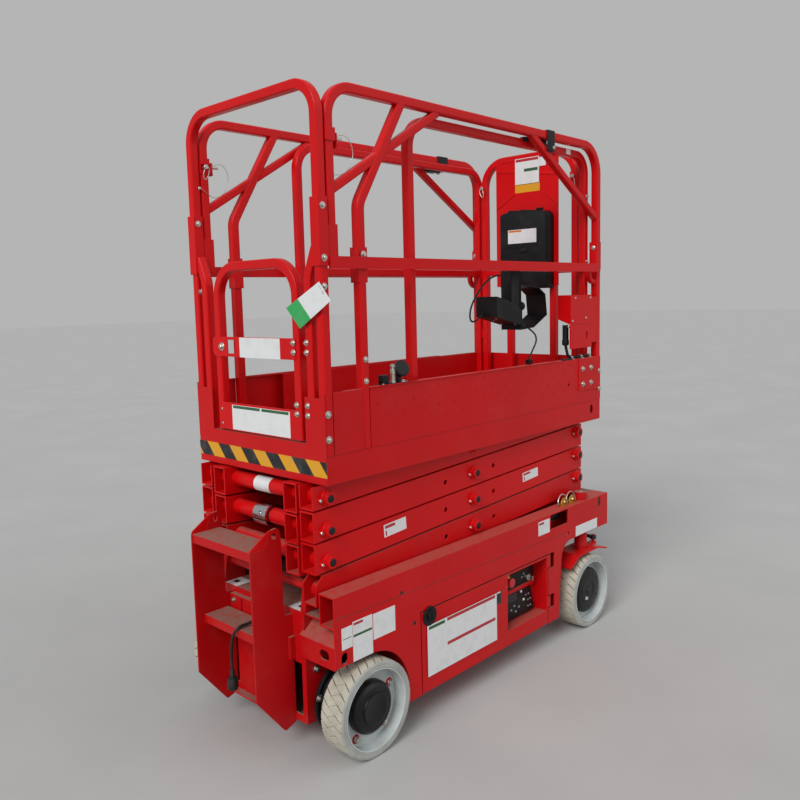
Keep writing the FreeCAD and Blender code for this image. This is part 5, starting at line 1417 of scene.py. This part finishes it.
@dataclass
class Platform:
    """Hazard strip, labels, bolts and small fittings of the platform and its gate."""

    rear_x: float = -750.0
    strip_z: tuple[float, float] = (941.0, 991.0)
    strip_half: float = 350.0
    stripe: float = 68.6
    lean: float = 42.0
    first_edge: float = 302.2
    stripes: int = 6
    skirt_y: float = 353.0
    toe_top_z: float = 1204.0

    def hazard(self) -> None:
        """Makes the striped film along the rear edge."""
        form = Form("hazard_strip", YELLOW_FILM, BLACK_FILM)
        low, high = self.strip_z
        half = self.strip_half
        base = [(self.rear_x, y, z) for y, z in ((half, low), (half, high), (-half, high),
                                                 (-half, low))]
        form.slab(base, (-0.3, 0, 0), 0)
        for k in range(self.stripes):
            edge = self.first_edge - 2 * self.stripe * k
            outline = [(edge + self.stripe, high), (edge, high), (edge - self.lean, low),
                       (edge + self.stripe - self.lean, low)]
            for sign in (1, -1):
                outline = self._clip(outline, sign)
            form.slab([(self.rear_x - 0.3, y, z) for y, z in outline], (-0.15, 0, 0), 1)
        form.done("platform")

    def _clip(self, outline: list[tuple[float, float]], sign: int) -> list[tuple[float, float]]:
        """Cuts an outline off where it passes one end of the strip.

        Args:
            outline: Its corners as Y and Z.
            sign: 1 for the left end, -1 for the right.

        Returns:
            The corners that are left.
        """
        kept = []
        for (y0, z0), (y1, z1) in zip(outline, outline[1:] + outline[:1]):
            if y0 * sign <= self.strip_half:
                kept.append((y0, z0))
            if (y0 * sign - self.strip_half) * (y1 * sign - self.strip_half) < 0:
                share = (sign * self.strip_half - y0) / (y1 - y0)
                kept.append((sign * self.strip_half, z0 + (z1 - z0) * share))
        return kept

    def gate(self) -> None:
        """Makes the gate's two labels, its latch and its hinge bolts."""
        form = Form("gate_labels", WHITE_FILM, GREEN_FILM)
        Label((-746.0, -16.0, 1092.0), 317.0, 86.0, (-1, 0, 0),
              bands=(Band(0.02, 0.87, 0.5, 0.98, 1), Band(0.53, 0.87, 0.98, 0.98, 1))).build(form)
        Label((-749.0, -32.0, 1336.0), 219.0, 67.0, (-1, 0, 0)).build(form)
        form.done("entry_gate")
        form = Form("gate_bolts", ZINC, PLASTIC)
        form.turn(((15, -0.2), (15, 1.6), (14, 2.4), (0, 2.4)), (-749.0, 181, 1337), (-1, 0, 0), 0, 28)
        form.bolt((-751.2, 181, 1337), (-1, 0, 0), 15.0, 0, False)
        for z in (1357.0, 1327.0):
            form.bolt((-749.0, -209.0, z), (-1, 0, 0), 11.0)
        for z in (1160.0, 1131.0):
            form.bolt((-746.0, -212.0, z), (-1, 0, 0), 11.0)
        for z in (1117.0, 1066.0):
            form.dome((-746.0, 203.0, z), (-1, 0, 0), 4.5)
        form.done("entry_gate")

    def bolts(self) -> None:
        """Makes the bolts of the rail sleeves, posts and toe boards."""
        form = Form("platform_bolts", ZINC)
        for y in (-270.0, 270.0):
            for z in (1358.0, 1328.0, 1162.0, 1131.0):
                if y < 0:
                    form.bolt((-746.2 if z > 1200 else -750.0, y, z), (-1, 0, 0), 11.0)
        for side in Side:
            level = -353.0 if side is Side.RIGHT else 313.0
            for z, inset in ((1768.0, 0.0), (1614.0, 0.0), (1529.0, 3.8)):
                form.bolt((-734.0, level + inset, z), (0, -1, 0), 12.0)
            out = (0, side.value, 0)
            face = side.value * self.skirt_y
            post = side.value * (self.skirt_y - 3.8)
            spots = [(-737.0, post, 1139.0), (-737.0, post, 1061.0), (-570.0, face, 1627.0),
                     (762.0, face, 1159.0), (831.0, face, 1160.0), (762.0, face, 1091.0),
                     (831.0, face, 1093.0)]
            form.bolt((885.0, side.value * 332, 1690), (-1, 0, 0), 12.0)
            for spot in spots:
                form.bolt(spot, out, 13.0)
            for z in (1297.0, 1227.0):
                form.bolt((-570.0, side.value * 349.0, z), out, 11.0)
            for z in (1139.0, 1056.0):
                form.bolt((912.0, post, z), out, 11.0)
        form.done("platform")

    def card(self) -> None:
        """Makes the inspection card that hangs from a bolt of the rear post on a wire."""
        form = Form("hanging_card", WHITE_FILM, GREEN_CARD, ZINC)
        x = self.rear_x - 7.0
        corners = {"top": Vector((x, -352, 1543)), "right": Vector((x, -402, 1486)),
                   "low": Vector((x, -256, 1402)), "left": Vector((x, -192, 1466))}
        share = 0.64
        upper = corners["top"].lerp(corners["left"], share)
        lower = corners["right"].lerp(corners["low"], share)
        form.slab([corners["top"], corners["right"], lower, upper], (-0.5, 0, 0), 0)
        form.slab([upper, lower, corners["low"], corners["left"]], (-0.5, 0, 0), 1)
        hole = corners["top"].lerp(corners["right"], 0.5)
        hole = hole.lerp(corners["low"].lerp(corners["left"], 0.5), 0.06)
        form.turn(((4.5, -0.2), (4.5, 0.9), (2.6, 0.9), (2.6, -0.2)), hole, (-1, 0, 0), 2, 16, True)
        form.hose([hole + Vector((1.5, 0, 0)), hole + Vector((-2, 4, 8)), (x - 1, -352, 1530),
                   (x + 4, -341, 1528), (x + 12, -334, 1529)], 0.8, 2, 6, 5)
        form.done("platform")

    def lock(self) -> None:
        """Makes the extension lock on the near toe board: base, plunger and knob."""
        form = Form("extension_lock", PLASTIC, ZINC, CAP)
        z = self.toe_top_z
        y = -336.0
        form.box((-500, y - 15, z - 0.2), (-365, y + 15, z + 5), 0, 1.5)
        form.box((-492, y - 11, z + 4), (-462, y + 11, z + 34), 0, 2.5)
        form.turn(((9, -20), (9, 8), (7, 9), (7, 28), (9.5, 29), (9.5, 44), (7, 46), (7, 52),
                   (9, 54), (9, 60), (5, 63), (0, 63)), (-437, y - 4, z + 5), (0, 0, 1), 1, 28)
        form.turn(((8, 0), (8, 7), (24, 9), (28, 14), (28, 26), (24, 31), (0, 32)),
                  (-400, y + 4, z + 44), (-0.25, -0.86, 0.3), 2, 40)
        form.hose([(-437, y - 2, z + 50), (-424, y, z + 50), (-412, y + 4, z + 48)], 5.0, 1, 10, 4)
        form.turn(((9, 0), (9, 26), (0, 26)), (-400, y + 6, z + 4), (0, 0, 1), 2, 24)
        form.bolt((-391, y - 8, z + 5), (0, 0, 1), 10.0, 1)
        for x in (-488, -374):
            form.dome((x, y - 8, z + 5), (0, 0, 1), 4.5, 1)
        form.done("platform")

    def clamps(self) -> None:
        """Makes the black cable clamps on the top rails and the device under the left one."""
        form = Form("rail_clamps", PLASTIC, ZINC, BLACK_FILM)
        top = 2127.0
        for x, y, wide, low in ((510.0, -333.0, 26.0, 62.0), (625.0, 333.0, 34.0, 44.0),
                                (-120.0, 333.0, 22.0, 40.0)):
            form.box((x - wide, y - 21.5, top - low), (x + wide, y - 17, top + 18), 0, 1.5)
            form.box((x - wide, y + 17, top - low), (x + wide, y + 21.5, top + 18), 0, 1.5)
            form.box((x - wide, y - 21.5, top + 14.5), (x + wide, y + 21.5, top + 19), 0, 1.5)
            form.box((x - wide, y - 21.5, top - low - 2), (x + wide, y + 21.5, top - low + 3), 0, 1.5)
            out = -1 if y < 0 else 1
            form.bolt((x + wide - 9, y + out * 21.5, top - low + 14), (0, out, 0), 8.0, 1)
        form.box((508, 300, top - 58), (590, 352, top - 24), 0, 3.0)
        form.turn(((9, 0), (9, 18), (6, 20), (0, 20)), (602, 326, top - 62), (0, 0, 1), 1, 20)
        form.box((374, -318, top - 34), (408, -292, top - 16), 0, 3.0)
        form.done("platform")

    def dimples(self) -> None:
        """Makes the rows of pressed dimples inside both toe boards."""
        form = Form("toe_board_dimples", RED)
        for side in Side:
            inner = side.value * 349.8
            for k in range(29):
                x = -520.0 + 44.0 * k
                for z in ((1183.0, 1112.0) if k % 2 else (1148.0, 1076.0)):
                    form.turn(((5.2, -0.1), (4.2, 1.0), (2.4, 1.6), (0, 1.8)), (x, inner, z),
                              (0, -side.value, 0), 0, 10)
        form.done("platform")

    def build(self) -> None:
        """Makes the platform's pieces."""
        self.hazard()
        self.gate()
        self.bolts()
        self.card()
        self.lock()
        self.clamps()
        self.dimples()


@dataclass
class RailPins:
    """Lynch pins that hold the folding rails, with their sprung rings and wire lanyards."""

    lanyard_radius: float = 1.1

    def pin(self, form: Form, at: Point, way: Point, length: float) -> None:
        """Adds a pin, its sprung ring and its washer.

        Args:
            form: The form that takes it.
            at: Where the pin's head stands out of the rail.
            way: Direction out of the rail.
            length: How far the pin reaches back through the rail.
        """
        out = Vector(way).normalized()
        side = out.orthogonal().normalized()
        spot = Vector(at)
        form.turn(((5.5, -length), (5.5, 4), (9, 5), (9, 10), (7, 12), (0, 12)), spot, way, 0, 20)
        down = Vector((0, 0, -1))
        ring = [spot + out * 8 + down * (20 - 20 * math.cos(a)) + side * 17 * math.sin(a)
                for a in [2 * math.pi * k / 12 for k in range(12)]]
        form.hose(ring, 1.6, 0, 8, 4)

    def lanyard(self, name: str, points: Sequence[Point], body: str) -> None:
        """Args:
            name: The piece's name.
            points: Control points of its route.
            body: The body that it rides.
        """
        data = bpy.data.curves.new(name, "CURVE")
        data.dimensions = "3D"
        data.bevel_depth = self.lanyard_radius * MM
        data.bevel_resolution = 2
        data.resolution_u = 12
        data.use_fill_caps = True
        spline = data.splines.new("NURBS")
        spline.points.add(len(points) - 1)
        for spot, at in zip(spline.points, points):
            spot.co = (at[0] * MM, at[1] * MM, at[2] * MM, 1.0)
        spline.order_u = 3
        spline.use_endpoint_u = True
        data.materials.append(ZINC.material())
        wire = bpy.data.objects.new(name, data)
        bpy.context.scene.collection.objects.link(wire)
        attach(wire, body)

    def build(self) -> None:
        """Makes the pins and lanyards of the platform and the extension."""
        form = Form("rail_pins", ZINC, RED)
        for side in Side:
            y = side.value
            form.box((-712.0, y * 317 - 3.5, 1944), (-662, y * 317 + 3.5, 1980), 1, 2.0)
            form.box((-666.0, y * 331 - 17, 1940), (-660, y * 331 + 17, 1986), 1, 2.0)
            self.pin(form, (-698.0, y * 306.0, 1966.0), (0, -y, 0.0), 22.0)
            form.turn(((5.5, 0), (5.5, 30), (4, 32), (0, 32)), (-660, y * 331, 1972), (1, 0, 0), 0)
            form.dome((-716.0, y * 316.9, 1893.0), (0, -y, 0), 6.5, 0)
        form.done("platform")
        form = Form("front_rail_pins", ZINC, RED)
        for side in Side:
            y = side.value
            self.pin(form, (848.0, y * 252.0, 2010.0), (-1, 0, 0), 24.0)
            form.box((850, y * 252 - 20, 1985), (858, y * 252 + 20, 2030), 1, 2.0)
        form.done("extension")
        for side in Side:
            y = side.value
            points = [(-652, y * 331, 1978), (-622, y * 330, 1992), (-588, y * 331, 1972),
                      (-580, y * 333, 1926), (-606, y * 333, 1880), (-650, y * 331, 1862),
                      (-690, y * 312, 1876), (-716, y * 311, 1893)]
            self.lanyard(f"pin_lanyard_{side.word}", points, "platform")


@dataclass
class Extension:
    """Panel folds, document box, labels, rivets and fittings of the sliding extension."""

    panel_x: float = 853.0
    box_x: float = 791.0
    box_left: float = 115.0
    box_right: float = -149.0
    box_low: float = 1518.0
    box_high: float = 1881.0
    outlet_y: float = -349.0

    def panel(self) -> None:
        """Makes the pressed folds, the label and the yellow strip on the front panel."""
        form = Form("panel_folds", RED)
        x = self.panel_x
        for low, high, wide in (((171, 2086), (-171, 2040), 14.0), ((171, 1905), (66, 1966), 9.0),
                                ((-171, 1905), (-90, 1966), 9.0)):
            (y0, z0), (y1, z1) = low, high
            form.slab([(x, y0, z0), (x, y1, z1), (x, y1, z1 - wide), (x, y0, z0 - wide)],
                      (-2.2, 0, 0), 0, 0.9)
        for y in (105.0, -137.0):
            for z in (2080.0, 1900.0, 1560.0):
                form.dome((x + 3.2, y, z), (1, 0, 0), 6.0, 0)
        form.done("extension")
        form = Form("panel_labels", WHITE_FILM, RED_FILM, GREEN_FILM, YELLOW_FILM)
        bands = (Band(0.03, 0.87, 0.97, 0.975, 1), Band(0.38, 0.47, 0.95, 0.585, 2))
        Label((x - 2.6, -5.5, 2064.0), 132.0, 118.0, (-1, 0, 0), bands=bands).build(form)
        Label((x - 2.6, -90.0, 2096.0), 36.0, 40.0, (-1, 0, 0)).build(form)
        Label((x, -5.5, 1985.5), 136.0, 37.0, (-1, 0, 0)).build(form, 3)
        form.done("extension")

    def document_box(self) -> None:
        """Makes the document box with its arched lid, seams and label."""
        form = Form("document_case", PLASTIC, WHITE_FILM, ORANGE_FILM, ZINC)
        left, right, low, high = self.box_left, self.box_right, self.box_low, self.box_high
        back = [(left - 4, low + 4), (left - 12, low), (right + 8, low), (right, low + 8)]
        back += [(right, high - 34), (right + 6, high - 22), (right + 18, high - 12)]
        back += [(-20.0, high), (42.0, high - 2), (left - 22, high - 10), (left - 4, high - 18)]
        form.slab([(self.box_x + 5, y, z) for y, z in back], (57.0, 0, 0), 0, 1.5)
        lid = [(y * 0.965 - 0.4, low + 5 + (z - low) * 0.974) for y, z in back]
        form.slab([(self.box_x, y, z) for y, z in lid], (6.0, 0, 0), 0, 2.0)
        form.box((self.box_x - 1.2, right + 3, low + 14), (self.box_x + 2, right + 5.5, high - 18), 0)
        form.box((self.box_x - 0.8, left - 24, low + 190), (self.box_x + 2, right + 24, low + 194), 0)
        form.block(Matrix.Translation((self.box_x - 2, -18, low + 175)), (8, 46, 16), 0, 2.5)
        for y in (left - 62, right + 46):
            form.box((self.box_x + 8, y - 15, high - 8), (self.box_x + 26, y + 15, high + 2), 0, 2.0)
        Label((self.box_x, -16.5, 1760.0), 157.0, 63.0, (-1, 0, 0),
              bands=(Band(0.03, 0.82, 0.48, 0.96, 2),)).build(form, 1)
        case = form.done("extension")
        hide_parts("document_box")

    def outlets(self) -> None:
        """Makes the rivets, lid seam, socket and conduit of the outlet boxes."""
        form = Form("outlet_fittings", ZINC, PLASTIC, RED)
        y = self.outlet_y
        for x, z in ((707.0, 1470.0), (796.0, 1382.0), (834.0, 1470.0), (684.0, 1372.0)):
            form.dome((x, y, z), (0, -1, 0), 5.0, 0)
        form.box((672, y - 1.0, 1356.0), (844, y + 1, 1359.0), 2)
        form.turn(((13, 0), (13, 62), (15, 64), (15, 84), (11, 88), (0, 88)), (676, -318, 1354),
                  (0, 0, -1), 1, 24)
        form.bolt((676, -331, 1346), (0, -1, 0), 9.0, 0, False)
        form.done("platform")
        form = Form("toe_board_hem", RED)
        for y in (-353.0, 335.0):
            form.box((-560, y, 1203.8), (600, y + 18, 1207), 0, 1.2)
        form.done("platform")
        form = Form("toe_board_conduit", PLASTIC, ZINC)
        form.hose([(676, -318, 1268), (680, -322, 1240), (684, -326, 1222), (700, -331, 1213),
                   (760, -331, 1212), (850, -331, 1212)], 6.0, 0, 10, 6)
        for x in (700.0, 780.0, 848.0):
            form.box((x - 7, -346, 1203.8), (x + 7, -318, 1208), 1, 1.0)
            form.turn(((8.2, 0), (8.2, 12), (0, 12)), (x - 6, -331, 1212), (1, 0, 0), 1, 20)
        form.box((616, -346, 1203.8), (690, -326, 1210), 0, 2.0)
        form.done("platform")

    def rails(self) -> None:
        """Makes the small plate, caps and bolts on the extension's rails."""
        form = Form("extension_fittings", PLASTIC, ZINC, WHITE_FILM)
        Label((714.0, -308.4, 2091.0), 34.0, 22.0, (0, -1, 0)).build(form, 2)
        for x, y in ((296.0, -215.0), (262.0, -252.0), (380.0, -194.0), (380.0, -262.0)):
            form.dome((x, y, 1404.0 - (x - 232.0) * 0.2289), (-0.223, 0, -0.975), 5.0, 1)
        for side in Side:
            y = side.value
            for z in (1915.0, 1630.0, 1300.0):
                form.bolt((867.0, y * 308.4, z), (0, y, 0), 10.0, 1)
        form.done("extension")

    def build(self) -> None:
        """Makes the extension's pieces."""
        self.panel()
        self.document_box()
        self.outlets()
        self.rails()


@dataclass
class Coats:
    """Finishes of the CAD nodes that stay as they are."""

    trodden: tuple[str, ...] = ("entry_ladder", "chassis_core")
    used: tuple[str, ...] = ("chassis_side_left", "chassis_side_right", "tray_left", "tray_right",
                             "platform_deck", "extension_deck", "arm_outer_1", "arm_inner_1")
    black: tuple[str, ...] = ("rear_axle", "tie_rod", "lift_barrel")
    plastic: tuple[str, ...] = ("ground_controls", "document_box", "control_box")

    def finish_of(self, node: str) -> Finish:
        """Picks a node's finish.

        Args:
            node: Name of the CAD node.

        Returns:
            Its finish.
        """
        if node in self.trodden:
            return RED_TRODDEN
        if node in self.used:
            return RED_USED
        if node in self.black:
            return BLACK_PAINT
        if node in self.plastic:
            return PLASTIC
        for start, finish in (("tyre", TYRE), ("rim", RIM_PAINT), ("batteries", CASE),
                              ("lift_rod", CHROME), ("power", SHEATH)):
            if node.startswith(start):
                return finish
        return RED

    def build(self) -> None:
        """Gives every CAD node its finish."""
        for node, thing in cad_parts.items():
            thing.data.materials.clear()
            thing.data.materials.append(self.finish_of(node).material())
            thing.data.shade_smooth()
            thing.data.set_sharp_from_angle(angle=math.radians(30))


def main() -> None:
    """Builds the studio and dresses the machine, one sub-assembly after another."""
    logging.basicConfig(level=logging.INFO, format="%(message)s")
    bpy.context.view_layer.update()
    Studio().build()
    Cords().build()
    Coats().build()
    for end in End:
        for side in Side:
            Wheel(end, side).build()
    Scissor().build()
    Chassis().build()
    Steering().build()
    for side in Side:
        Door(side).build()
    Console().build()
    Platform().build()
    RailPins().build()
    Extension().build()


if __name__ == "__main__":
    main()
